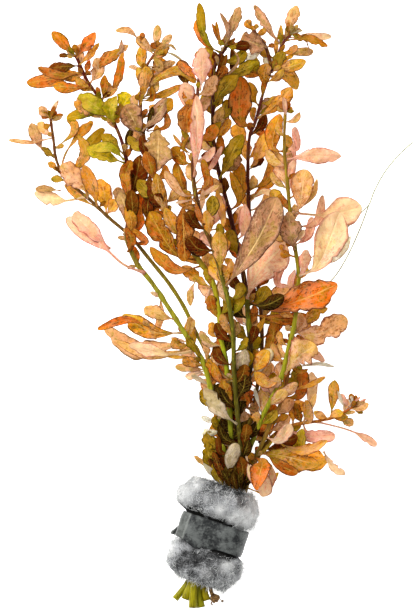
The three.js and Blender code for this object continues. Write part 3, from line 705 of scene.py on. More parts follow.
# Chance picks within these: a leaf's twist and curl in degrees, its fold and sway, the share of it
# that is stalk, where along the blade it is widest, and where a wave starts.
TWISTS = (-30, 30)
CURLS = (-38, 52)
FOLDS = (-0.4, 0.4)
SWAYS = (-0.045, 0.045)
STALK_SHARES = (0.02, 0.15)
WIDEST_SHARES = (0.5, 0.72)
PHASES = (0, 6.3)
# The waves of a leaf's edge, from long to short, with how deep each is. Narrow leaves get no
# notches.
EDGE_WAVES = ((5.3, 0.07), (11, 0.045), (23, 0.03), (47, 0.018))
NARROWEST_NOTCHED = 8
NOTCH_PLACES = (0.4, 0.95)
NOTCH_LENGTHS = (0.012, 0.04)
NOTCH_DEPTHS = (0.1, 0.4)


def glow(code):
    """The colour of light that has come through a leaf: paler than the leaf lit from the front."""
    parts = (GLOW_GAIN * part ** GLOW_PALENESS for part in colour(code)[:3])
    return tuple(min(1, part) for part in parts) + (1,)


def leaf_material(tone):
    main, deep, light, tip, edge, heart = LEAF_COLOURS[tone]
    material, shader, leaf = new_material(f"{tone}_leaf", roughness=0.45, specular=0.03)
    grid = leaf.node("ShaderNodeUVMap", {"uv_map": "leaf_grid"})
    own = leaf.node("ShaderNodeUVMap", {"uv_map": "leaf_own"})
    along, around = grid.part(0), grid.part(1)
    across = abs(around * 2 - 1)
    place = leaf.place()
    patches = leaf.noise(place, 165, 5, 0.64)
    clouds = leaf.noise(place, 90, 4, 0.64, 0.8)
    mottle = leaf.noise(place, 620, 4, 0.68)
    lean = own.part(0)
    folded = leaf.node("ShaderNodeCombineXYZ", None, {
        "X": along * 7 - across * 2.4, "Y": around * 2.6, "Z": lean * 60 + mottle * 0.5,
    })
    creases = leaf.noise(folded, 1.5, 4, 0.66, 0.4)
    lengthwise = leaf.node("ShaderNodeCombineXYZ", None, {
        "X": along * 2.4 + across * 0.6, "Y": around * 9, "Z": lean * 90,
    })
    streaks = leaf.noise(lengthwise, 1.3, 4, 0.7, 0.7)
    pale_share = patches.spread(7) + streaks.spread(4) + lean.spread(0.9) + mottle.spread(3) + across * 0.3
    blade = pale_share.rising(0.0, 0.55).mix(colour(main), colour(light))
    heart_share = clouds.spread(6) + mottle.spread(2) - across * 0.7 - along * 0.4 + own.part(1) * 0.8
    heart_share = heart_share.rising(-0.1, 0.3)
    blade = (heart_share * 0.85).mix(blade, colour(heart))
    # Dark patches, partly the leaf's own colour and partly painted shade: darker along the creases and
    # towards the base. They also let less light through.
    shade_share = creases.spread(6) - streaks.spread(4) - clouds.spread(3) + mottle.spread(3)
    shade_share = (shade_share - lean.spread(0.6) - along * 0.4).rising(0.0, 0.5)
    blade = (shade_share * 0.9).mix(blade, colour(deep))
    tip_share = (along + patches * 0.6 + own.part(1) * 0.5).rising(1.2, 1.55)
    blade = (tip_share * 0.8).mix(blade, colour(tip))
    side_vein = leaf.math("PINGPONG", along * 9 - across * 1.9 + patches * 0.35, 0.5)
    net = leaf.node(
        "ShaderNodeTexVoronoi", {"feature": "DISTANCE_TO_EDGE"}, {"Vector": place, "Scale": 1000.0}
    )
    midrib = across.rising(0.09, 0.02)
    veins = side_vein.rising(0.09, 0.01) * across.rising(1.0, 0.7) * 0.5
    fine_veins = net.rising(0.08, 0.0) * 0.28
    lines = leaf.math("MAXIMUM", midrib * 0.7, leaf.math("MAXIMUM", veins, fine_veins))
    grain = leaf.noise(place, 1150, 3, 0.7).spread(4) + mottle.spread(5)
    blade = (grain.rising(0.1, 1.1) * 0.7).mix(blade, colour(deep))
    blade = (grain.rising(-0.1, -1.1) * 0.7).mix(blade, colour(light))
    vein_colour = tuple(0.5 * a + 0.5 * b for a, b in zip(colour(0xd8be4a), colour(light)))
    blade = lines.mix(blade, vein_colour)
    # A dark margin, partly the leaf's own edge colour and partly painted shade along its outline. It also
    # lets less light through.
    margin = (across + mottle * 0.3).rising(0.9, 1.1)
    blade = (margin * 0.85).mix(blade, colour(edge))
    blade = (leaf.noise(place, 1300, 2, 0.5).rising(0.66, 0.74) * 0.45).mix(blade, colour(edge))
    blade.feed(shader, "Base Color")
    (mottle * 0.25 + 0.32).feed(shader, "Roughness")
    relief = (mottle * 0.5 + creases * 0.8 - lines * 0.5).emboss(shader, 0.9, 0.6 * MM)
    through = leaf.node("ShaderNodeBsdfTranslucent", None, {"Color": glow(main), "Normal": relief})
    share = SEE_THROUGH - lines * 0.1 - margin * 0.45 - shade_share * 0.48 - heart_share * 0.16
    share = share - grain.rising(0.1, 1.1) * 0.24
    front = Shade(leaf.tree, shader.outputs[0])
    both = leaf.node("ShaderNodeMixShader", None, {0: share, 1: front, 2: through})
    both.feed(leaf.tree.nodes["Material Output"], "Surface")
    return material


leaf_materials = {tone: leaf_material(tone) for tone in LEAF_COLOURS}
leaf_random = random.Random(41)


class LeafMesh:
    """The growing mesh of one leaf or of a group of leaves."""

    def __init__(self):
        self.vertices, self.faces, self.grid, self.own, self.tones = [], [], [], [], []

    def finish(self, name, replaced):
        tones = sorted(set(self.tones))
        new_piece(
            name, self.vertices, self.faces, [leaf_materials[tone] for tone in tones], [replaced],
            uvs={"leaf_grid": self.grid, "leaf_own": self.own},
            material_numbers=[tones.index(tone) for tone in self.tones],
        )


def smooth_rise(values, low, high):
    share = np.clip((values - low) / (high - low), 0, 1)
    return share * share * (3 - 2 * share)


def turned(vectors, axes, angles):
    """The vectors turned about the axes, which are at right angles to them."""
    sine, cosine = np.sin(angles)[:, None], np.cos(angles)[:, None]
    return vectors * cosine + np.cross(axes, vectors) * sine


def leaf_midrib(route, rows, roll, twist, sway):
    """How far along the leaf each row is, its place, and the ways to its side and up from it."""
    points = [at(*point) for point in route]
    fine = np.array([curve_place(points, i / MIDRIB_STEPS) for i in range(MIDRIB_STEPS + 1)])
    steps = np.linalg.norm(np.diff(fine, axis=0), axis=1)
    travelled = np.concatenate([[0], np.cumsum(steps)]) / steps.sum()
    shares = 1 - (1 - np.linspace(0, 1, rows + 1)) ** 1.4
    middle = np.stack([np.interp(shares, travelled, fine[:, k]) for k in range(3)], axis=1)
    ahead = np.gradient(middle, shares, axis=0)
    ahead /= np.linalg.norm(ahead, axis=1)[:, None]
    side = np.stack([ahead[:, 1], -ahead[:, 0], np.zeros(rows + 1)], axis=1)
    side /= np.maximum(np.linalg.norm(side, axis=1), 1e-6)[:, None]
    swing = sway * np.linalg.norm(fine[-1] - fine[0])
    middle += swing * np.sin(math.pi * shares)[:, None] * side
    side = turned(side, ahead, np.radians(roll + twist * (shares - 0.5)))
    return shares, middle, side, np.cross(side, ahead)


def leaf_half_widths(shares, width, stalk):
    """Half the leaf's width at each row: a stalk that widens to the blade, and a rounded tip."""
    pick = leaf_random.uniform
    full = width * SQUARE / 2
    blade_start = stalk or pick(*STALK_SHARES)
    widest = pick(*WIDEST_SHARES)
    blade = np.clip((shares - blade_start) / (1 - blade_start), 0, 1)
    beyond = np.clip((blade - widest) / (1 - widest), 0, 1)
    outline = np.sin(math.pi / 2 * np.minimum(1, blade / widest)) ** pick(1.0, 1.7)
    outline *= (1 - beyond ** pick(1.5, 2.6)) ** pick(0.45, 0.8)
    stalk_half = STALK_HALF_WIDTH * MM * min(1, 0.4 + width / 24) * (1.5 if stalk else 1)
    stalk_half = stalk_half * (1.15 - 0.5 * smooth_rise(shares, 0, 0.12))
    return np.maximum(outline * full, stalk_half * smooth_rise(1 - shares, 0, 0.05))


def leaf_margins(shares, across, width):
    """How far the wavy and torn edges reach, as shares of the leaf's half width."""
    pick = leaf_random.uniform
    ragged = pick(0.5, 1) if pick(0, 1) < 0.6 else pick(1.5, 2.6)
    margins = []
    for _ in ("left", "right"):
        margin = np.ones(len(shares))
        for beat, depth in EDGE_WAVES:
            margin += ragged * depth * np.sin(beat * shares + pick(*PHASES))
        notches = int(pick(0, 2.2) * ragged) if width > NARROWEST_NOTCHED else 0
        for _ in range(notches):
            notch, length, depth = pick(*NOTCH_PLACES), pick(*NOTCH_LENGTHS), pick(*NOTCH_DEPTHS)
            margin -= depth * np.exp(-(((shares - notch) / length) ** 2))
        margins.append(np.maximum(margin, 0.3))
    return np.where(across[None, :] < 0, margins[0][:, None], margins[1][:, None])


def leaf_curl(shares, across, half, reach, fold):
    """How far each point lies to the side and up, on a blade that curls, folds, waves and ripples."""
    pick = leaf_random.uniform
    curl = np.radians(pick(*CURLS)) * (0.35 + 0.65 * shares)
    curl = np.where(np.abs(curl) < 0.02, 0.02, curl)[:, None]
    sideways = reach * np.sin(curl * across) / np.sin(curl)
    lift = -reach * (1 - np.cos(curl * across)) / np.sin(curl) - fold * half * np.abs(across)
    wave = pick(0.05, 0.17) * half * np.abs(across) ** 1.6
    beats = pick(1.4, 3.6)
    starts = np.where(across < 0, pick(*PHASES), pick(*PHASES))
    lift += wave * np.sin(2 * math.pi * beats * shares[:, None] + starts)
    ripple = pick(*PHASES)
    lift += 0.04 * half * np.sin(34 * shares[:, None] + 3 * np.abs(across) + ripple)
    lift += 0.09 * half * np.sin(11 * shares[:, None] + 4.2 * across + ripple)
    return sideways, lift


def leaf_thickness(shares, across, half):
    """Half the leaf's thickness at each point, and the midrib's ridge below it."""
    solid = 1 - smooth_rise(shares, 0.06, 0.34)[:, None]
    crown = np.sqrt(np.maximum(0, 1 - across ** 2))
    thick = (STALK_THICKNESS * solid * crown + BLADE_THICKNESS * (1 - solid)) * MM / 2
    thick = thick * np.minimum(1, half / (0.3 * MM))
    thick = np.maximum(thick, RIM_THICKNESS * MM / 2)
    nearness = np.exp(-((across[None, :] * half / (RIDGE_HALF_WIDTH * MM)) ** 2))
    ridge = RIDGE_HEIGHT * MM * nearness * (1 - shares[:, None]) ** 0.7 * (1 - solid)
    return thick, ridge


def add_leaf(mesh, tone, width, roll, *route, mesh_grid, stalk=None):
    """Adds a closed leaf whose midrib follows the route. Its width is in grid squares, its mesh has
    so many rows and columns, and its stalk is a share of its length."""
    pick = leaf_random.uniform
    rows, columns = mesh_grid
    twist = pick(*TWISTS)
    fold = pick(*FOLDS) if pick(0, 1) < 0.5 else 0.0
    sway = pick(*SWAYS)
    shares, middle, side, up = leaf_midrib(route, rows, roll, twist, sway)
    across = np.linspace(-1, 1, columns + 1)
    half = leaf_half_widths(shares, width, stalk)[:, None]
    reach = half * leaf_margins(shares, across, width)
    sideways, lift = leaf_curl(shares, across, half, reach, fold)
    thick, ridge = leaf_thickness(shares, across, half)
    top = lift + thick - 0.2 * ridge
    below = lift - thick - ridge

    def surface(heights, columns_kept):
        spread = sideways[:, columns_kept, None] * side[:, None, :]
        return middle[:, None, :] + spread + heights[:, columns_kept, None] * up[:, None, :]

    every = np.arange(columns + 1)
    inner = np.arange(columns - 1, 0, -1)
    rings = np.concatenate([surface(top, every), surface(below, inner)], axis=1)
    rings[:, :, 2] = np.maximum(rings[:, :, 2], LOWEST_LEAF)
    around = rings.shape[1]
    first = len(mesh.vertices)
    mesh.vertices.extend(rings.reshape(-1, 3).tolist())
    ring_across = np.concatenate([across, across[inner]]) / 2 + 0.5
    for share in shares:
        mesh.grid.extend((share, place) for place in ring_across)
    mesh.own.extend([(pick(0, 1), pick(0, 1))] * (around * (rows + 1)))
    faces = rings_to_faces(rows + 1, around)
    mesh.faces.extend(tuple(first + corner for corner in face) for face in faces)
    mesh.tones.extend([tone] * len(faces))


# Stems. Round and faintly ribbed, with a swollen joint wherever a leaf grows, and tiny young
# leaves in the joints. They run down through the wool, and most were cut just below it.

# Places along the bundle, in grid squares from its middle.
TOP_OF_BUNDLE, BOTTOM_OF_BUNDLE, HIDDEN_END = 54, -54, -42
STEM_SIDES = 14
STEM_STEP = 1.3 * MM
JOINT_LENGTH = 1.1 * MM
# How much of the given radius the skin takes, and how much more of it at a joint.
SKIN_SHARE = 0.87
JOINT_SWELLING = 0.22
# Where along it a stem has grown to its full width, and how it widens again towards its end.
FULL_WIDTH_SHARE = 0.45
FLARE_START = 0.9
FLARE = 0.7
SIDE_SHOOT_RADIUS = 0.75 * MM
SIDE_SHOOT_SIDES = 12
SIDE_SHOOT_STEPS = 24
YOUNG_LEAF_TONES = ("rust", "rust", "olive", "amber", "tan")
# Rows along and columns across the leaves' meshes.
LARGE_GRID = (44, 20)
SMALL_GRID = (26, 10)
FILLING_GRID = (19, 8)
STALKED_GRID = (30, 8)
JOINT_GRID = (12, 6)
TIP_GRID = (14, 6)
# Chance picks within these for the leaves that fill a stretch of stem: their turn from the stem and
# their roll in degrees, their length in squares, their rise, and their width as a share of length.
FILLING_TURNS = (10, 66)
FILLING_ROLLS = (-25, 25)
FILLING_LENGTHS = (16, 30)
FILLING_RISES = (-7, 5)
FILLING_WIDTHS = (0.36, 0.62)
# Lengths and widths of the young leaves in the joints and at the tip, and how the tip's are fanned.
JOINT_LEAF_LENGTHS = (6, 10)
JOINT_LEAF_WIDTHS = (4.2, 6.4)
TIP_LEAF_LENGTHS = (8, 14)
TIP_LEAF_WIDTHS = (4.4, 6.2)
TIP_FAN = (-66, -38, -12, 20, 45, 74)


# A stem's colour stops run from its tip to its low end. The darker stops towards the end are partly
# painted shade, where the stems go into the dark mouth of the bundle.
def stem_material(name, colours):
    material, shader, stem = new_material(name, roughness=0.45, specular=0.12)
    grid = stem.node("ShaderNodeUVMap", {"uv_map": "stem_grid"})
    place = stem.place()
    cloud = stem.noise(place, 130, 3, 0.6)
    along = grid.part(0) + cloud * 0.22 - 0.11
    stops = [(position, colour(code)) for position, code in colours]
    skin = stem.node("ShaderNodeValToRGB", {"stops": stops}, {"Fac": along})
    drawn_out = stem.node(
        "ShaderNodeMapping", None, {"Vector": place, "Rotation": (0, 0, 0.18), "Scale": (1, 0.12, 1)}
    )
    streaks = stem.noise(drawn_out, 1500, 3, 0.6)
    skin = (streaks.rising(0.5, 0.7) * 0.6).mix(skin, colour(0x301400))
    skin = (streaks.rising(0.45, 0.3) * 0.3).mix(skin, colour(0xcaba2e))
    skin.feed(shader, "Base Color")
    streaks.emboss(shader, 0.4, 0.2 * MM)
    return material


cut_material = bark_material("fresh_cut_pith", 0xa9a24a, 0xd9d79a, 1800)


def in_bundle(across, along, height):
    """A point on the drawing grid from its distances across and along the bundle, in squares."""
    sideways = BUNDLE_MIDDLE[0] + across * math.cos(BUNDLE_TURN) + along * math.sin(BUNDLE_TURN)
    down = BUNDLE_MIDDLE[1] + across * math.sin(BUNDLE_TURN) - along * math.cos(BUNDLE_TURN)
    return (sideways, down, height)


def stem_skin(line, radius_at, joints, material, name, cut_end):
    """The rings of vertices round a stem, with its cut end closed by a paler slanting face."""
    vertices, grid = [], []
    side = (line[1] - line[0]).orthogonal().normalized()
    last = len(line) - 1
    phase = leaf_random.uniform(*PHASES)
    for i, point in enumerate(line):
        ahead = (line[min(i + 1, last)] - line[max(i - 1, 0)]).normalized()
        side = (side - side.dot(ahead) * ahead).normalized()
        up = ahead.cross(side)
        swelling = sum(math.exp(-(((point - joint).length / JOINT_LENGTH) ** 2)) for joint in joints)
        radius = radius_at(i / last) * (1 + JOINT_SWELLING * min(1.0, swelling)) * MM
        for k in range(STEM_SIDES):
            angle = 2 * math.pi * k / STEM_SIDES
            rib = 1 + 0.05 * math.cos(4 * angle + phase) + 0.04 * math.sin(0.9 * i + 2 * angle)
            out = math.cos(angle) * side + math.sin(angle) * up
            vertices.append(point + radius * rib * out)
            grid.append((i / last, k / STEM_SIDES))
    faces = rings_to_faces(len(line), STEM_SIDES)
    material_numbers = [0] * len(faces)
    if cut_end:
        material_numbers[-1] = 1
    new_piece(
        f"{name}_skin", vertices, faces, [material, cut_material], [name],
        uvs={"stem_grid": grid}, material_numbers=material_numbers,
    )


def on_route(route, down):
    """The point of a route at a place down the grid, and the way from there to the stem's tip."""
    for upper, lower in zip(route, route[1:]):
        if upper[1] <= down <= lower[1]:
            break
    share = min(1.0, max(0.0, (down - upper[1]) / (lower[1] - upper[1])))
    point = tuple(a + (b - a) * share for a, b in zip(upper, lower))
    return point, math.atan2(upper[0] - lower[0], lower[1] - upper[1])


def filling_leaves(chance, route, first_down, last_down, count, tones):
    """Leaves at chance places on a stretch of a stem, by turns on its two sides. Each is a row of
    the leaf lists."""
    pick = chance.uniform
    made = []
    for number in range(count):
        share = (number + pick(0, 1)) / count
        start, lean = on_route(route, first_down + (last_down - first_down) * share)
        turn = math.radians(pick(*FILLING_TURNS)) * (-1) ** number
        length, rise = pick(*FILLING_LENGTHS), pick(*FILLING_RISES)
        line = [start]
        for part, bend in ((0.55, 1.2), (1, 0.85)):
            heading = lean + turn * bend
            reach = length * part
            line.append((
                start[0] + reach * math.sin(heading), start[1] - reach * math.cos(heading),
                max(0.8, start[2] + rise * part),
            ))
        tone = chance.choice(tones)
        width = length * pick(*FILLING_WIDTHS)
        made.append((tone, width, pick(*FILLING_ROLLS), *line))
    return made


def add_joint_leaves(mesh, rows):
    """A young leaf at every third or so of the joints that the larger leaves grow from."""
    pick = leaf_random.uniform
    for row in rows:
        across, down, height = start = row[3]
        if not leaf_random.choice((0, 0, 1)):
            continue
        turn = pick(0, 2 * math.pi)
        reach = pick(*JOINT_LEAF_LENGTHS)
        tip = (
            across + reach * math.cos(turn),
            down - abs(reach * math.sin(turn)) - 2,
            max(0.6, height + pick(-2.5, 3.5)),
        )
        tone = leaf_random.choice(YOUNG_LEAF_TONES)
        add_leaf(mesh, tone, pick(*JOINT_LEAF_WIDTHS), 0, start, tip, mesh_grid=JOINT_GRID)


def add_tip_leaves(mesh, route):
    """The fan of young leaves at the stem's tip."""
    pick = leaf_random.uniform
    top, below = route[0], route[1]
    lean = math.atan2(top[0] - below[0], below[1] - top[1])
    for turn in TIP_FAN:
        heading = lean + math.radians(turn + pick(-10, 10))
        reach = pick(*TIP_LEAF_LENGTHS)
        tip = (
            top[0] + reach * math.sin(heading), top[1] - reach * math.cos(heading),
            max(0.8, top[2] + pick(-1.5, 3)),
        )
        tone = leaf_random.choice(YOUNG_LEAF_TONES)
        add_leaf(mesh, tone, pick(*TIP_LEAF_WIDTHS), 0, top, tip, mesh_grid=TIP_GRID)


def grow_stem(name, radius, tip_radius, bundle_place, route, leaves, sprigs, colours,
              cut_end=None, side_shoots=(), stalks=None, stalked=(), fill=(), fill_seed=0):
    """One stem with its large leaves, each a piece of its own, and its small leaves in one piece."""
    across, height = bundle_place
    low_end = BOTTOM_OF_BUNDLE if cut_end else HIDDEN_END
    whole = [*route, in_bundle(across, TOP_OF_BUNDLE, height), in_bundle(across, low_end, height)]
    whole += [cut_end] if cut_end else []
    points = [at(*point) for point in whole]
    length = sum((b - a).length for a, b in zip(points, points[1:]))
    line = smooth_line(points, int(length / STEM_STEP))
    joints = [at(*leaf[3]) for leaf in [*leaves, *sprigs]]
    material = stem_material(f"{name}_skin", colours)

    def radius_at(share):
        grown = min(1.0, share / FULL_WIDTH_SHARE)
        grown = grown * grown * (3 - 2 * grown)
        flare = 1 + FLARE * max(0.0, share - FLARE_START) / 0.1
        return SKIN_SHARE * (tip_radius + (radius - tip_radius) * grown) * flare

    stem_skin(line, radius_at, joints, material, name, cut_end)
    for number, side_shoot in enumerate(side_shoots):
        vertices, faces = [], []
        shoot_line = smooth_line([at(*point) for point in side_shoot], SIDE_SHOOT_STEPS)
        thin_tube(shoot_line, SIDE_SHOOT_RADIUS, SIDE_SHOOT_SIDES, vertices, faces)
        grid = [(0.1, 0.5)] * len(vertices)
        new_piece(
            f"{name}_side_shoot_{number + 1}", vertices, faces, [material], [name],
            uvs={"stem_grid": grid},
        )
    for number, leaf in enumerate(leaves):
        mesh = LeafMesh()
        add_leaf(mesh, *leaf, mesh_grid=LARGE_GRID, stalk=(stalks or {}).get(number))
        node = f"{name}_leaf_{number + 1}"
        mesh.finish(f"{node}_blade", node)
    small = LeafMesh()
    for leaf in sprigs:
        add_leaf(small, *leaf, mesh_grid=SMALL_GRID)
    chance = random.Random(fill_seed)
    for stretch in fill:
        for leaf in filling_leaves(chance, whole[: len(route) + 1], *stretch):
            add_leaf(small, *leaf, mesh_grid=FILLING_GRID)
    for tone, width, start, base, tip in stalked:
        stalk = math.dist(start, base) / (math.dist(start, base) + math.dist(base, tip))
        add_leaf(small, tone, width, 0, start, base, tip, mesh_grid=STALKED_GRID, stalk=0.9 * stalk)
    add_joint_leaves(small, [*leaves, *sprigs])
    add_tip_leaves(small, route)
    small.finish(f"{name}_small_leaves", name)


# Far left stem. The lowest on the left, brown at the tip and olive below, with oval amber and
# salmon leaves. It is squeezed into the wool with the others and cut off below it.
grow_stem(
    "far_left_stem", radius=0.95, tip_radius=0.6, bundle_place=(-7.5, 9.2),
    colours=[
        (0, 0x5a2a0c), (0.25, 0x5c400c), (0.5, 0x7c7410),
        (0.8, 0x4c400a), (0.95, 0x7e7802),
    ],
    cut_end=(175, 600, 10),
    route=[
        (50, 118, 9), (53, 140, 8), (56, 160, 8), (66, 179, 8), (88, 198, 8), (108, 217, 9),
        (130, 236, 10), (150, 260, 11), (170, 285, 11), (185, 309, 11), (195, 331, 11),
        (206, 352, 11), (213, 380, 10.5), (220, 430, 10), (223, 465, 9.5),
    ],
    leaves=[
        ("salmon", 20, 15, (88, 198, 9), (82, 185, 11), (61, 164, 14)),
        ("amber", 16, -25, (97, 206, 9), (94, 190, 15), (84, 165, 20)),
        ("orange", 20, 10, (106, 215, 9), (104, 200, 7), (100, 178, 4)),
        ("blush", 15, 5, (86, 196, 8), (60, 198, 4), (33, 192, 0.8)),
    ],
    sprigs=[
        ("salmon", 11, 20, (50, 119, 9), (38, 107, 12)),
        ("rust", 7, 10, (51, 123, 9), (43, 127, 7)),
        ("olive", 8, 20, (55, 157, 8), (41, 147, 12)),
        ("amber", 8, 0, (54, 148, 8), (73, 128, 6), (67, 116, 5)),
        ("amber", 13, 10, (68, 181, 8), (86, 150, 10), (78, 134, 11)),
        ("amber", 7, 0, (61, 172, 8), (47, 162, 6)),
        ("olive", 8, 10, (67, 181, 8), (50, 178, 5)),
        ("amber", 8, 0, (98, 208, 8.5), (64, 184, 5)),
        ("blush", 5, 0, (50, 119, 9), (58, 99, 11)),
        ("mauve", 5, 0, (51, 121, 9), (62, 116, 11)),
        ("salmon", 5, 0, (53, 137, 8), (30, 141, 6), (7, 139, 3)),
        ("lime", 6, 0, (96, 205, 8), (92, 178, 6)),
        ("maroon", 4, 0, (65, 179, 8), (54, 166, 9)),
        ("mauve", 5, 0, (132, 239, 10), (117, 237, 8)),
        ("mauve", 8, 0, (60, 190, 6), (34, 188, 2)),
        ("orange", 12, 0, (106, 215, 8.5), (112, 206, 10), (118, 196, 12)),
    ],
    stalks={3: 0.35},
    stalked=[
        ("mauve", 14, (54, 156, 8), (41, 149, 6), (30, 122, 3)),
        ("amber", 9, (60, 169, 8), (66, 150, 6), (92, 120, 4)),
        ("olive", 13, (75, 188, 8), (79, 162, 5), (103, 127, 2)),
    ],
    fill=[
        (60, 140, 4, ("amber", "salmon")),
        (345, 440, 6, ("tan", "amber", "rust")),
        (455, 480, 2, ("olive", "rust")),
    ],
    fill_seed=3,
)


# Left stem. Its dark red tip carries a rosette of small leaves, and it turns green below. Three
# long leaves hang from its bare lower half, and it runs down through the wool to its cut end.
grow_stem(
    "left_stem", radius=1.15, tip_radius=0.7, bundle_place=(-4, 12),
    colours=[
        (0, 0x4a0500), (0.3, 0x4a0c02), (0.4, 0x7c741a),
        (0.68, 0x8a8c14), (0.8, 0x3c3408), (0.95, 0x867e04),
    ],
    cut_end=(185, 600, 12),
    route=[
        (76, 56, 20), (87, 80, 19), (103, 104, 18), (116, 127, 17), (124, 149, 17), (129, 182, 16),
        (129, 210, 15), (127, 238, 15), (136, 262, 15), (152, 283, 15), (170, 310, 15),
        (184, 332, 15), (203, 362, 14.5), (211, 390, 14), (221, 430, 13.2), (226, 465, 12.4),
    ],
    leaves=[
        ("rust", 16, 15, (82, 73, 19), (50, 78, 15), (26, 82, 10)),
        ("amber", 20, 10, (102, 104, 18.5), (92, 105, 21), (74, 104, 24)),
        ("lime", 20, -15, (113, 121, 17.5), (120, 110, 20), (131, 95, 23)),
        ("lime", 17, 10, (125, 163, 16.5), (108, 156, 20), (87, 148, 22)),
        ("maroon", 20, -10, (130, 203, 16), (137, 180, 20), (141, 155, 23)),
        ("pink", 17, 5, (145, 273, 16), (124, 264, 19), (104, 246, 17), (66, 217, 9)),
        ("amber", 18, 5, (183, 333, 14), (153, 332, 11), (122, 315, 6)),
        ("tan", 20, 0, (184, 344, 14), (146, 348, 6), (127, 344, 3.5), (103, 328, 0.8)),
        ("blush", 16, -10, (192, 352, 15.5), (165, 356, 18), (129, 345, 17)),
    ],
    sprigs=[
        ("rust", 11, -10, (85, 76, 19.5), (104, 64, 23), (121, 50, 26)),
        ("copper", 13, 15, (77, 58, 20.5), (84, 46, 24), (96, 33, 27)),
        ("copper", 13, 15, (76, 57, 20), (52, 32, 23)),
        ("orange", 8, 0, (80, 65, 20), (100, 43, 22)),
        ("maroon", 12, 20, (79, 66, 19.5), (48, 68, 16)),
        ("copper", 13, 15, (91, 88, 19), (70, 88, 22), (53, 86, 24)),
        ("blush", 7, 0, (83, 74, 19.4), (88, 90, 15)),
        ("copper", 9, 10, (100, 100, 18), (112, 90, 17), (123, 51, 15)),
        ("olive", 12, 10, (106, 110, 18), (66, 118, 12)),
        ("rust", 9, 0, (102, 103, 18), (105, 75, 20)),
        ("shadow", 7, 0, (125, 154, 17), (132, 128, 19)),
        ("maroon", 7, 10, (126, 158, 17), (140, 131, 18)),
        ("copper", 12, -10, (129, 206, 17), (126, 186, 22), (123, 164, 22)),
        ("copper", 12, 10, (127, 238, 15), (139, 226, 18), (138, 200, 20)),
        ("mauve", 13, 0, (128, 230, 16), (126, 212, 21), (120, 192, 20)),
        ("copper", 8, 0, (138, 266, 15), (132, 245, 12)),
        ("salmon", 8, 0, (160, 294, 15), (158, 318, 10), (155, 340, 7)),
        ("salmon", 16, 10, (176, 320, 15), (166, 318, 18), (144, 308, 20)),
        ("salmon", 10, 0, (193, 348, 15), (150, 352, 11), (114, 340, 8)),
        ("amber", 11, 10, (206, 367, 14.5), (182, 360, 19)),
        ("tan", 9, 0, (207, 370, 14.5), (175, 367, 12)),
        ("cream", 10, 0, (221, 432, 13), (202, 434, 17)),
        ("olive", 13, 10, (224, 462, 12.6), (212, 462, 15), (205, 441, 17)),
        ("cream", 7, 0, (224, 466, 12.4), (214, 474, 15), (203, 463, 19)),
        ("maroon", 6, 0, (77, 58, 20), (59, 55, 18)),
        ("copper", 5, 0, (77, 57, 20), (74, 45, 24)),
        ("copper", 6, 0, (85, 76, 19), (90, 60, 17)),
        ("rust", 6, 0, (126, 160, 17), (138, 132, 14)),
        ("blush", 5, 0, (162, 298, 15), (150, 292, 17)),
        ("rust", 10, 0, (76, 74, 19.5), (60, 74, 21), (38, 68, 22)),
        ("mauve", 5, 0, (112, 58, 24), (120, 50, 26), (122, 40, 27)),
        ("salmon", 6, 0, (114, 57, 24), (122, 50, 25), (129, 46, 25)),
        ("rust", 5, 0, (100, 99, 18.5), (97, 87, 20)),
        ("maroon", 5, 0, (101, 99, 18.5), (111, 92, 20)),
        ("amber", 6, 0, (102, 100, 18.5), (118, 88, 21)),
        ("olive", 4, 0, (113, 122, 17.5), (101, 117, 19)),
        ("tan", 5, 0, (138, 266, 15), (127, 268, 17)),
        ("copper", 8, 0, (129, 243, 15), (146, 242, 18), (132, 229, 20)),
        ("blush", 5, 0, (190, 342, 15), (171, 338, 17)),
        ("orange", 4, 0, (200, 358, 14.5), (165, 356, 12)),
        ("blush", 7, 0, (206, 370, 14), (185, 377, 12)),
        ("faded", 5, 0, (210, 386, 14), (191, 375, 15)),
        ("salmon", 5, 0, (188, 338, 15), (194, 319, 19)),
        ("cream", 6, 0, (219, 424, 13), (201, 417, 16)),
        ("tan", 6, 0, (216, 470, 13), (194, 456, 15)),
        ("copper", 13, 0, (128, 238, 17), (131, 222, 22), (126, 205, 22)),
        ("maroon", 14, 0, (131, 226, 17), (134, 210, 22), (131, 190, 23)),
        ("rust", 12, 0, (129, 190, 17), (125, 176, 22), (131, 160, 23)),
        ("rust", 10, 0, (128, 252, 17), (131, 240, 20), (126, 228, 20)),
        ("lime", 15, 0, (114, 122, 19), (110, 110, 22), (117, 96, 24)),
        ("lime", 19, 0, (112, 118, 16), (97, 108, 22), (79, 95, 24)),
        ("lime", 12, 0, (124, 160, 20), (110, 149, 24), (92, 150, 24)),
        ("pink", 19, 0, (110, 249, 15), (92, 231, 16), (73, 213, 11)),
        ("olive", 14, 0, (124, 154, 16), (112, 143, 14), (101, 134, 12)),
        ("copper", 9, 0, (150, 327, 13), (128, 321, 12), (97, 329, 9)),
        ("olive", 10, 0, (203, 362, 14.5), (196, 348, 17), (186, 337, 18)),
        ("salmon", 9, 0, (206, 368, 14), (208, 352, 17), (204, 336, 18)),
    ],
    stalks={5: 0.4, 8: 0.3},
    fill=[
        (60, 150, 9, ("salmon", "amber", "tan")),
        (175, 245, 5, ("rust", "tan", "mauve")),
        (330, 400, 8, ("salmon", "salmon", "amber", "orange")),
        (400, 455, 6, ("maroon", "shadow", "olive")),
    ],
    fill_seed=26,
)


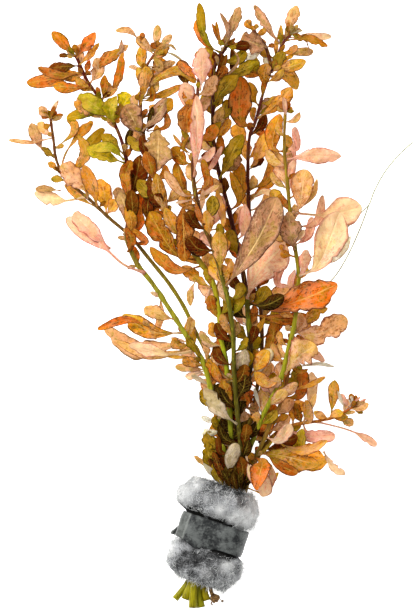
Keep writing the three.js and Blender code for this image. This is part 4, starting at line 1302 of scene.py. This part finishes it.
# Middle left stem. Leaves cover it nearly all the way, and it is bright green where it shows
# low down. A faded streaked leaf hangs over the mouth of the bundle from it.
grow_stem(
    "middle_left_stem", radius=1.15, tip_radius=0.6, bundle_place=(-0.5, 14.8),
    colours=[
        (0, 0x6a2c10), (0.2, 0x744a0c), (0.45, 0x8a7a10),
        (0.55, 0x8f9410), (0.8, 0x4a440a), (0.95, 0x847c04),
    ],
    cut_end=(193, 608, 14),
    route=[
        (157, 52, 30), (146, 69, 30), (141, 95, 30), (143, 130, 29), (152, 170, 28), (168, 215, 27),
        (187, 243, 26), (200, 262, 26), (212, 280, 25), (218, 305, 24), (221, 335, 23),
        (226, 362, 21), (229, 400, 19.5), (231, 435, 17.6), (231, 465, 16),
    ],
    leaves=[
        ("amber", 11, 0, (143, 93, 31), (164, 78, 35), (182, 73, 34), (196, 84, 31)),
        ("mauve", 24, 10, (142, 136, 29.5), (136, 126, 32), (126, 106, 35)),
        ("mauve", 26, -15, (154, 178, 29), (157, 158, 33), (158, 131, 36)),
        ("amber", 16, 10, (170, 221, 27.5), (161, 199, 31.5), (157, 174, 34)),
        ("rust", 24, 0, (197, 260, 26), (180, 254, 28), (150, 212, 30)),
    ],
    sprigs=[
        ("amber", 14, 5, (211, 288, 24.5), (198, 278, 22), (182, 266, 20)),
        ("salmon", 11, 10, (155, 57, 30), (137, 38, 33)),
        ("tan", 9, 0, (156, 52, 30), (158, 26, 31)),
        ("amber", 7, 0, (156, 54, 30), (140, 44, 27)),
        ("tan", 8, 0, (157, 52, 30), (172, 36, 33)),
        ("tan", 9, 10, (148, 68, 30), (176, 63, 28)),
        ("amber", 15, 10, (141, 106, 30), (143, 88, 34), (147, 68, 37)),
        ("blush", 7, 0, (143, 88, 30), (163, 70, 27)),
        ("amber", 8, 0, (141, 100, 30), (160, 95, 29), (183, 86, 27)),
        ("rust", 13, 10, (142, 118, 29.5), (158, 112, 32), (173, 100, 34)),
        ("maroon", 12, 10, (151, 166, 28), (148, 214, 24), (160, 198, 22)),
        ("rust", 12, 14, (169, 218, 26.6), (150, 206, 23)),
        ("rust", 14, 5, (202, 266, 26), (177, 268, 23), (150, 247, 17)),
        ("orange", 9, 0, (221, 340, 22.5), (211, 334, 24), (212, 322, 27)),
        ("rust", 12, 5, (227, 375, 20.5), (222, 400, 17), (214, 418, 15)),
        ("rust", 13, 0, (230, 412, 19), (228, 396, 23), (222, 379, 26)),
        ("maroon", 7, 0, (231, 455, 16.6), (220, 452, 19), (218, 436, 22)),
        ("tan", 5, 0, (145, 74, 30), (129, 67, 27)),
        ("salmon", 7, 0, (141, 44, 33), (130, 33, 34), (116, 32, 34)),
        ("mauve", 3, 0, (158, 53, 30), (171, 46, 32), (177, 52, 31)),
        ("faded", 3, 0, (158, 54, 30), (170, 55, 31), (183, 62, 29)),
        ("tan", 8, 0, (148, 69, 30), (160, 69, 31), (154, 58, 33)),
        ("rust", 6, 0, (142, 102, 30), (153, 100, 31), (152, 87, 33)),
        ("shadow", 6, 0, (144, 134, 30), (153, 108, 35)),
        ("maroon", 8, 0, (147, 132, 31), (158, 117, 33)),
        ("rust", 6, 0, (148, 132, 29), (166, 126, 31), (165, 111, 33)),
        ("salmon", 7, 0, (196, 280, 24), (192, 292, 22), (190, 306, 20)),
        ("blush", 6, 0, (210, 288, 24), (206, 304, 20)),
        ("shadow", 10, 0, (234, 474, 16), (243, 455, 18)),
        ("faded", 15, 5, (232, 476, 17), (230, 462, 21), (237, 443, 24)),
        ("shadow", 12, 0, (236, 494, 15), (230, 480, 18), (228, 464, 19)),
        ("olive", 11, 0, (226, 489, 14), (218, 478, 16), (215, 462, 17)),
        ("maroon", 10, 0, (226, 486, 16), (218, 470, 18), (213, 452, 17)),
        ("maroon", 9, 0, (218, 482, 15), (210, 470, 16), (205, 453, 15)),
        ("shadow", 7, 0, (230, 490, 18), (227, 480, 20), (222, 470, 21)),
        ("rust", 14, 0, (156, 186, 29), (150, 170, 33), (146, 152, 34)),
        ("maroon", 14, 0, (166, 212, 28), (155, 198, 32), (149, 180, 31)),
        ("amber", 15, 0, (184, 240, 27), (173, 228, 31), (165, 208, 31)),
        ("maroon", 10, 0, (150, 164, 29), (145, 152, 33), (142, 136, 33)),
        ("mauve", 15, 0, (143, 132, 31), (156, 119, 33), (168, 99, 34)),
    ],
    fill=[
        (60, 130, 8, ("amber", "tan", "copper")),
        (130, 250, 10, ("salmon", "mauve", "amber", "olive")),
        (250, 330, 8, ("rust", "salmon", "olive", "amber")),
        (330, 450, 12, ("copper", "tan", "shadow", "copper")),
        (455, 500, 5, ("shadow", "maroon", "rust")),
    ],
    fill_seed=31,
)


# Pink shoot. The highest stem, with soft pink leaves at its tip and a large tan one low on the
# right. It ends inside the wool.
grow_stem(
    "pink_shoot", radius=1.05, tip_radius=0.7, bundle_place=(6.5, 14.8),
    colours=[
        (0, 0x5a2410), (0.3, 0x4c2a0c), (0.45, 0x5a5608),
        (0.9, 0x2c1c06),
    ],
    route=[
        (202, 62, 38), (199, 80, 37), (196, 120, 36), (193, 172, 35), (196, 197, 34), (202, 220, 33),
        (212, 245, 32), (220, 270, 31), (229, 305, 29), (233, 335, 27), (234, 372, 23.5),
        (237, 410, 21), (240, 440, 18.7), (240, 465, 16.6),
    ],
    leaves=[
        ("pink", 18, 5, (200, 92, 38), (203, 80, 41), (202, 50, 44)),
        ("pink", 17, -15, (197, 107, 36), (188, 106, 35), (185, 84, 38)),
        ("rust", 20, 10, (195, 106, 37), (189, 112, 40), (187, 134, 38)),
        ("pink", 14, 5, (194, 178, 36), (195, 140, 40), (197, 97, 43)),
        ("rust", 16, -20, (192, 165, 35), (184, 163, 33), (172, 148, 31)),
        ("rust", 19, 5, (197, 205, 35), (184, 207, 36), (182, 232, 34), (185, 262, 31)),
        ("amber", 16, -5, (221, 275, 32), (220, 257, 35), (219, 232, 37)),
        ("mauve", 32, 5, (226, 286, 31), (240, 262, 36), (277, 198, 35)),
        ("faded", 17, 10, (237, 424, 21), (222, 414, 24), (204, 388, 26)),
    ],
    sprigs=[
        ("copper", 10, 0, (199, 84, 37), (178, 63, 34)),
        ("rust", 9, 0, (196, 190, 34.5), (205, 186, 36), (203, 160, 39)),
        ("rust", 13, 15, (196, 196, 34), (184, 194, 31), (176, 163, 28)),
        ("salmon", 10, 0, (195, 196, 34), (184, 196, 36), (165, 172, 38)),
        ("orange", 9, 0, (206, 232, 32.5), (223, 226, 31), (217, 190, 29)),
        ("pink", 13, 10, (215, 254, 32), (201, 232, 29)),
        ("orange", 13, 10, (210, 240, 32), (206, 211, 37)),
        ("orange", 10, 0, (222, 276, 31), (232, 276, 31.5), (226, 258, 32)),
        ("amber", 9, 0, (233, 338, 27), (221, 314, 31)),
        ("copper", 10, 0, (234, 378, 23), (220, 380, 26), (213, 362, 28)),
        ("rust", 5, 0, (194, 156, 35), (184, 148, 36), (188, 138, 37)),
        ("pink", 6, 0, (196, 184, 34.5), (210, 168, 33), (222, 147, 30)),
        ("salmon", 6, 0, (197, 200, 34), (219, 186, 36)),
        ("salmon", 6, 0, (201, 214, 33), (203, 190, 35)),
        ("amber", 4, 0, (190, 158, 34), (173, 135, 33)),
        ("olive", 6, 0, (194, 150, 35), (182, 129, 36)),
        ("copper", 6, 0, (204, 228, 33), (196, 204, 36)),
        ("blush", 3, 0, (197, 200, 34), (175, 204, 36)),
        ("pink", 14, 0, (206, 232, 32), (216, 214, 30), (222, 196, 27)),
        ("maroon", 15, 0, (190, 92, 33), (184, 76, 32), (180, 61, 32)),
    ],
    fill=[
        (90, 200, 9, ("pink", "salmon", "copper", "mauve")),
        (200, 300, 11, ("orange", "amber", "olive", "maroon")),
        (300, 400, 12, ("olive", "rust", "tan", "maroon")),
        (400, 450, 6, ("shadow", "maroon", "shadow")),
        (455, 500, 5, ("shadow", "shadow", "rust")),
    ],
    fill_seed=33,
)


# Dark stem. Nearly black above and green at one joint, with the two largest leaves near its
# middle. Below the wool it was cut short.
grow_stem(
    "dark_stem", radius=1.15, tip_radius=0.8, bundle_place=(3, 12),
    colours=[
        (0, 0x3a0400), (0.4, 0x3c0800), (0.46, 0x7a7c10),
        (0.5, 0x3c2804), (0.8, 0x2c1c04), (0.95, 0x7a7604),
    ],
    cut_end=(201, 608, 12),
    route=[
        (226, 47, 24), (215, 66, 24), (213, 105, 23), (214, 147, 22), (222, 185, 21.5),
        (228, 207, 21), (237, 245, 20), (245, 285, 19), (249, 330, 18), (250, 372, 17),
        (243, 395, 16), (239, 415, 15), (236, 440, 14), (233, 465, 12.8),
    ],
    leaves=[
        ("olive", 17, 15, (214, 105, 23.5), (222, 94, 26), (238, 76, 29)),
        ("olive", 17, -10, (220, 179, 22.5), (229, 160, 25), (243, 135, 27)),
        ("blush", 36, -10, (247, 299, 20), (256, 274, 23), (285, 242, 22)),
        ("copper", 30, 5, (250, 303, 19.5), (272, 307, 24), (300, 299, 27.5), (337, 284, 27)),
        ("faded", 17, 5, (249, 381, 18), (243, 376, 21), (245, 349, 25)),
        ("orange", 16, -10, (251, 375, 17.5), (258, 366, 21), (268, 350, 24)),
    ],
    sprigs=[
        ("rust", 14, 10, (229, 212, 20.5), (240, 198, 18), (240, 162, 15)),
        ("olive", 10, 0, (221, 54, 24), (210, 44, 27), (199, 4, 30)),
        ("copper", 9, 0, (222, 53, 24), (208, 44, 22), (196, 20, 19)),
        ("mauve", 11, 10, (221, 54, 24), (228, 36, 28), (240, 8, 31)),
        ("maroon", 10, 15, (226, 48, 24), (250, 46, 20)),
        ("maroon", 10, 10, (214, 78, 24), (231, 76, 21), (232, 48, 18)),
        ("maroon", 7, 0, (214, 84, 24), (227, 55, 27)),
        ("olive", 12, 5, (214, 78, 24), (240, 72, 22), (259, 62, 19)),
        ("olive", 13, 10, (213, 118, 22.5), (206, 92, 18)),
        ("tan", 14, 10, (214, 137, 22), (222, 107, 28)),
        ("maroon", 8, 0, (214, 156, 22), (208, 133, 19)),
        ("orange", 11, 0, (215, 147, 22), (230, 119, 19)),
        ("rust", 11, 10, (229, 211, 21), (238, 202, 24), (230, 172, 29)),
        ("pink", 13, 0, (236, 241, 20), (243, 234, 22), (245, 204, 26)),
        ("salmon", 16, 5, (249, 303, 18.5), (270, 298, 16), (290, 286, 12)),
        ("pink", 9, 0, (249, 326, 18), (242, 322, 15), (236, 302, 12)),
        ("maroon", 10, 0, (249, 348, 17.5), (256, 326, 23)),
        ("rust", 7, 0, (250, 350, 17.5), (265, 317, 20)),
        ("rust", 14, 0, (250, 354, 17.5), (266, 348, 15), (276, 315, 12)),
        ("copper", 12, 5, (240, 411, 15), (245, 404, 18), (243, 390, 20)),
        ("rust", 5, 0, (222, 52, 24), (212, 24, 21)),
        ("rust", 4, 0, (222, 52, 24), (216, 22, 28)),
        ("mauve", 5, 0, (224, 50, 24), (226, 30, 30), (220, 14, 33)),
        ("mauve", 4, 0, (225, 46, 26), (233, 15, 30)),
        ("maroon", 7, 0, (217, 66, 24), (214, 52, 26)),
        ("shadow", 12, 0, (242, 494, 15), (240, 480, 19), (238, 462, 20)),
        ("maroon", 12, 0, (240, 486, 17), (243, 472, 20), (240, 456, 20)),
        ("shadow", 8, 0, (238, 492, 18), (235, 482, 21), (233, 472, 21)),
        ("maroon", 12, 0, (242, 452, 18), (246, 438, 20), (247, 424, 20)),
        ("maroon", 7, 0, (218, 66, 24), (222, 54, 25)),
        ("mauve", 3, 0, (215, 84, 24), (237, 62, 27), (233, 50, 28)),
        ("cream", 14, 0, (250, 378, 17), (262, 366, 18), (271, 349, 20)),
        ("rust", 14, 0, (249, 314, 19), (286, 320, 18), (308, 316, 14)),
        ("pink", 13, 0, (214, 140, 20), (222, 124, 17), (226, 105, 15)),
        ("olive", 10, 0, (214, 150, 22), (208, 137, 24), (221, 122, 26)),
        ("shadow", 14, 0, (250, 304, 24), (264, 304, 29.5), (284, 296, 31)),
    ],
    stalks={2: 0.03},
    fill=[
        (55, 130, 9, ("olive", "rust", "maroon")),
        (130, 240, 10, ("rust", "mauve", "salmon", "maroon")),
        (240, 330, 9, ("maroon", "rust", "shadow", "olive")),
        (330, 440, 12, ("amber", "salmon", "tan", "olive")),
        (455, 500, 6, ("shadow", "maroon", "olive")),
    ],
    fill_seed=27,
)


# Right top stem. Red-brown and forked near its tip, which spreads into long amber leaves. It is
# the lowest of the bunch in the middle and ends inside the wool.
grow_stem(
    "right_top_stem", radius=0.95, tip_radius=0.6, bundle_place=(6.5, 9.2),
    colours=[
        (0, 0x5a1c0c), (0.4, 0x4a1c0c), (0.9, 0x6a5a1c),
    ],
    side_shoots=[[(254, 31, 15), (266, 47, 14), (272, 70, 12)]],
    route=[
        (291, 34, 13), (283, 43, 12), (276, 60, 12), (271, 70, 12), (262, 97, 12), (256, 120, 12),
        (250, 135, 11), (248, 170, 10), (249, 205, 10), (254, 260, 9), (260, 300, 9), (262, 350, 9),
        (257, 390, 9), (249, 430, 9), (241, 465, 9.2),
    ],
    leaves=[
        ("mauve", 26, 10, (267, 47, 15.5), (256, 44, 19), (241, 38, 17)),
        ("amber", 16, -10, (258, 118, 12.5), (273, 106, 16), (292, 88, 19)),
        ("orange", 16, 10, (251, 167, 10.5), (260, 152, 13), (271, 132, 15)),
        ("rust", 24, 10, (255, 126, 11.5), (242, 122, 15), (240, 76, 17)),
    ],
    sprigs=[
        ("amber", 14, 10, (273, 68, 12), (288, 66, 16), (306, 61, 18)),
        ("mauve", 10, 0, (282, 45, 12), (268, 24, 9), (254, 4, 7)),
        ("salmon", 13, 10, (284, 42, 12), (297, 5, 16)),
        ("blush", 9, 5, (288, 37, 12.5), (310, 36, 8), (332, 35, 3)),
        ("rust", 9, 5, (286, 40, 12.5), (310, 40, 15), (328, 46, 16)),
        ("tan", 9, 0, (279, 54, 12), (296, 52, 9), (314, 50, 6)),
        ("amber", 14, 10, (271, 76, 12), (288, 74, 8), (298, 88, 0.8)),
        ("rust", 9, 0, (271, 73, 12), (243, 73, 7)),
        ("cream", 10, 0, (272, 72, 12), (264, 52, 9)),
        ("amber", 9, 0, (254, 32, 15), (246, 20, 17)),
        ("copper", 8, 0, (251, 132, 11), (266, 131, 8)),
        ("rust", 12, 10, (249, 190, 10), (266, 180, 13), (276, 150, 17)),
        ("copper", 10, 10, (249, 200, 10), (262, 190, 7), (278, 175, 4)),
        ("blush", 8, 0, (249, 202, 10), (262, 190, 13), (280, 197, 14)),
        ("blush", 10, 0, (249, 432, 9), (255, 420, 11), (252, 403, 12)),
        ("amber", 6, 0, (282, 45, 12), (281, 24, 15)),
        ("amber", 5, 0, (276, 62, 12), (277, 36, 9)),
        ("pink", 6, 0, (260, 112, 12), (268, 98, 9)),
        ("rust", 5, 0, (262, 100, 12), (265, 78, 15)),
        ("amber", 7, 0, (256, 36, 15), (266, 29, 16)),
        ("copper", 4, 0, (289, 35, 13), (289, 22, 16)),
        ("faded", 3, 0, (289, 34, 13), (303, 30, 14)),
        ("tan", 4, 0, (308, 44, 9), (312, 54, 7)),
        ("orange", 5, 0, (273, 70, 12), (294, 54, 13)),
        ("cream", 8, 0, (266, 47, 14), (250, 56, 13), (240, 53, 11)),
        ("olive", 8, 0, (265, 46, 14), (248, 46, 11), (234, 44, 9)),
    ],
    fill=[
        (45, 130, 10, ("amber", "amber", "olive")),
        (130, 240, 11, ("orange", "salmon", "maroon", "amber")),
        (240, 320, 7, ("rust", "maroon", "tan")),
        (320, 440, 13, ("salmon", "copper", "blush", "olive")),
    ],
    fill_seed=24,
)


# Right stem. Olive green and nearly straight, with the pale pink leaves of the right side. Its
# cut end is one of the thick ones below the wool.
grow_stem(
    "right_stem", radius=1.05, tip_radius=0.7, bundle_place=(10, 12),
    colours=[
        (0, 0x7a5610), (0.3, 0x7a6e10), (0.6, 0x848410),
        (0.8, 0x3c300a), (0.95, 0x867804),
    ],
    cut_end=(207, 601, 12),
    route=[
        (285, 113, 26), (284, 148, 26), (287, 180, 26), (289, 205, 26), (294, 243, 25),
        (298, 270, 24), (297, 300, 22.8), (294, 325, 22.5), (288, 350, 21.5), (283, 372, 20.5),
        (272, 397, 19), (261, 420, 17), (253, 440, 14.8), (245, 465, 12.8),
    ],
    leaves=[
        ("copper", 17, 10, (284, 152, 24.5), (274, 148, 22), (280, 114, 20)),
        ("pink", 17, 5, (287, 160, 27), (305, 157, 30), (341, 157, 28)),
        ("salmon", 24, -10, (291, 216, 26.5), (300, 208, 28), (305, 170, 32)),
        ("blush", 30, 5, (291, 213, 26), (326, 216, 22), (362, 207, 18)),
        ("blush", 32, 5, (299, 276, 25), (314, 268, 27), (339, 212, 26)),
        ("mauve", 20, 0, (294, 250, 26), (290, 238, 30), (288, 212, 33)),
        ("salmon", 26, -5, (294, 332, 21.5), (318, 334, 15), (348, 319, 9)),
        ("salmon", 28, 10, (285, 374, 21.5), (294, 362, 24), (316, 345, 25)),
    ],
    sprigs=[
        ("pink", 5, 0, (285, 118, 26), (283, 98, 29)),
        ("pink", 8, 0, (285, 155, 26), (298, 150, 28), (294, 128, 33)),
        ("pink", 8, 0, (287, 180, 26), (294, 160, 28)),
        ("pink", 9, 0, (291, 226, 25.5), (314, 222, 22), (323, 195, 18)),
        ("rust", 8, 0, (289, 212, 26), (278, 195, 28)),
        ("pink", 11, 5, (298, 278, 24), (303, 270, 26), (306, 250, 31)),
        ("pink", 10, 5, (298, 286, 23.2), (278, 284, 19), (285, 250, 17)),
        ("orange", 13, 10, (281, 378, 20.3), (268, 382, 23), (254, 372, 26)),
        ("shadow", 10, 0, (253, 441, 14.6), (240, 462, 18), (228, 472, 21)),
        ("orange", 10, 0, (258, 428, 16), (256, 412, 20)),
        ("pink", 6, 0, (273, 396, 19), (261, 386, 22)),
        ("pink", 7, 0, (296, 298, 22), (290, 285, 24), (295, 269, 26)),
        ("blush", 8, 0, (294, 246, 26), (304, 230, 29)),
        ("pink", 10, 0, (294, 246, 25), (308, 236, 23), (312, 217, 21)),
        ("salmon", 6, 0, (291, 216, 26), (314, 196, 25), (317, 179, 24)),
        ("pink", 8, 0, (287, 360, 21), (312, 355, 20), (325, 361, 18)),
        ("cream", 4, 0, (286, 368, 20), (318, 362, 16), (335, 367, 13)),
        ("rust", 5, 0, (286, 364, 21), (301, 372, 20), (308, 369, 19)),
        ("cream", 11, 0, (298, 276, 24), (334, 252, 20), (351, 236, 16)),
        ("cream", 4, 0, (262, 415, 16), (254, 388, 19)),
        ("orange", 10, 0, (259, 430, 15), (257, 421, 17)),
        ("salmon", 16, 0, (287, 190, 25), (279, 170, 22), (274, 148, 20)),
        ("pink", 13, 0, (289, 196, 24), (291, 168, 20), (293, 141, 16)),
        ("amber", 22, 0, (255, 452, 12), (288, 456, 10), (320, 466, 8)),
        ("amber", 12, 0, (297, 331, 20), (312, 316, 15), (328, 308, 12)),
    ],
    stalks={3: 0.36},
    fill=[
        (120, 240, 10, ("salmon", "amber", "tan")),
        (240, 330, 6, ("orange", "salmon", "amber")),
        (330, 440, 12, ("salmon", "olive", "salmon", "amber")),
    ],
    fill_seed=8,
)


# Short stem. An orange-brown shoot at the right of the bundle's mouth, half the others' length,
# with a curled orange leaf over the edge of the wool.
grow_stem(
    "short_stem", radius=0.95, tip_radius=0.7, bundle_place=(17, 12),
    colours=[
        (0, 0x9a5a24), (0.4, 0x80601c), (0.9, 0x6a5a1c),
    ],
    route=[
        (293, 345, 18), (290, 360, 17), (287, 380, 16.5), (280, 405, 15.5), (272, 420, 14.5),
        (264, 440, 13), (252, 465, 12),
    ],
    leaves=[
        ("rust", 17, 5, (284, 398, 15), (299, 396, 13), (303, 369, 12)),
    ],
    sprigs=[
        ("salmon", 9, 0, (292, 350, 17.5), (302, 340, 15), (310, 322, 12)),
        ("blush", 14, 10, (266, 437, 13.2), (277, 440, 15), (291, 424, 18)),
        ("copper", 22, 10, (256, 458, 12.6), (262, 462, 18), (260, 474, 26), (256, 490, 29)),
        ("orange", 5, 0, (284, 392, 16), (308, 384, 14), (326, 377, 12)),
        ("olive", 4, 0, (256, 458, 12.5), (273, 441, 14)),
        ("rust", 8, 0, (270, 426, 14), (288, 415, 12)),
        ("copper", 8, 0, (256, 462, 12.2), (247, 452, 19)),
        ("blush", 20, 15, (246, 456, 18), (250, 470, 21), (262, 484, 20), (262, 497, 14)),
        ("blush", 10, 0, (262, 462, 16), (272, 474, 18), (268, 488, 16)),
        ("orange", 8, 0, (246, 488, 9), (262, 493, 10), (279, 473, 9)),
        ("shadow", 5, 0, (246, 480, 17), (243, 491, 15)),
        ("olive", 6, 0, (256, 456, 12.6), (273, 470, 12)),
    ],
    fill=[
        (345, 450, 10, ("amber", "salmon", "copper", "olive")),
    ],
    fill_seed=27,
)


# Low right shoot. It leaves the bundle sideways and lies near the surface, with the large brown
# and orange leaf and a few narrow pale ones at the lower right.
grow_stem(
    "low_right_shoot", radius=0.95, tip_radius=0.6, bundle_place=(13.5, 9.2),
    colours=[
        (0, 0x9c4a14), (0.3, 0xa0600e), (0.5, 0x5c4810),
        (0.9, 0x4a3a10),
    ],
    route=[
        (353, 407, 9), (341, 415, 8), (330, 419, 8), (315, 422, 8), (300, 424, 8), (283, 429, 8),
        (270, 440, 8.5), (258, 458, 9),
    ],
    leaves=[
        ("orange", 27, 5, (262, 454, 7.5), (292, 460, 5), (330, 461, 1.2)),
    ],
    sprigs=[
        ("amber", 12, 10, (331, 418, 8), (332, 400, 11), (335, 380, 14)),
        ("orange", 8, 0, (330, 419, 8), (314, 412, 11)),
        ("pink", 8, 0, (351, 408, 9), (366, 409, 7)),
        ("tan", 10, 10, (339, 416, 8), (354, 426, 5)),
        ("rust", 10, 0, (302, 424, 8), (295, 403, 10)),
        ("amber", 11, 10, (300, 424, 8), (310, 422, 10), (306, 400, 12)),
        ("blush", 12, 5, (304, 423, 8), (312, 396, 5), (312, 372, 3)),
        ("pink", 14, 10, (283, 429, 8), (306, 438, 7), (336, 437, 6)),
        ("orange", 10, 5, (272, 438, 8.5), (297, 449, 10), (328, 441, 12)),
        ("rust", 12, 5, (264, 450, 9), (278, 462, 11), (298, 474, 12)),
        ("blush", 9, 0, (324, 452, 6), (332, 466, 6), (346, 476, 5)),
        ("pink", 4, 0, (351, 408, 9), (367, 399, 11)),
        ("pink", 6, 0, (350, 409, 9), (341, 394, 11)),
        ("cream", 4, 0, (346, 411, 8.5), (338, 391, 12)),
        ("cream", 6, 0, (351, 408, 9), (352, 396, 11)),
        ("pink", 3, 0, (351, 406, 9.5), (361, 397, 11)),
        ("tan", 4, 0, (342, 415, 8.5), (356, 412, 9)),
        ("lime", 12, 0, (283, 430, 9), (298, 448, 7), (303, 429, 10)),
        ("salmon", 7, 0, (304, 424, 9), (316, 393, 12)),
    ],
    stalked=[
        ("pink", 9, (316, 422, 8), (354, 434, 5), (378, 446, 1)),
    ],
    fill=[
        (409, 432, 7, ("orange", "amber", "olive", "salmon")),
        (432, 456, 4, ("maroon", "rust", "olive")),
    ],
    fill_seed=32,
)
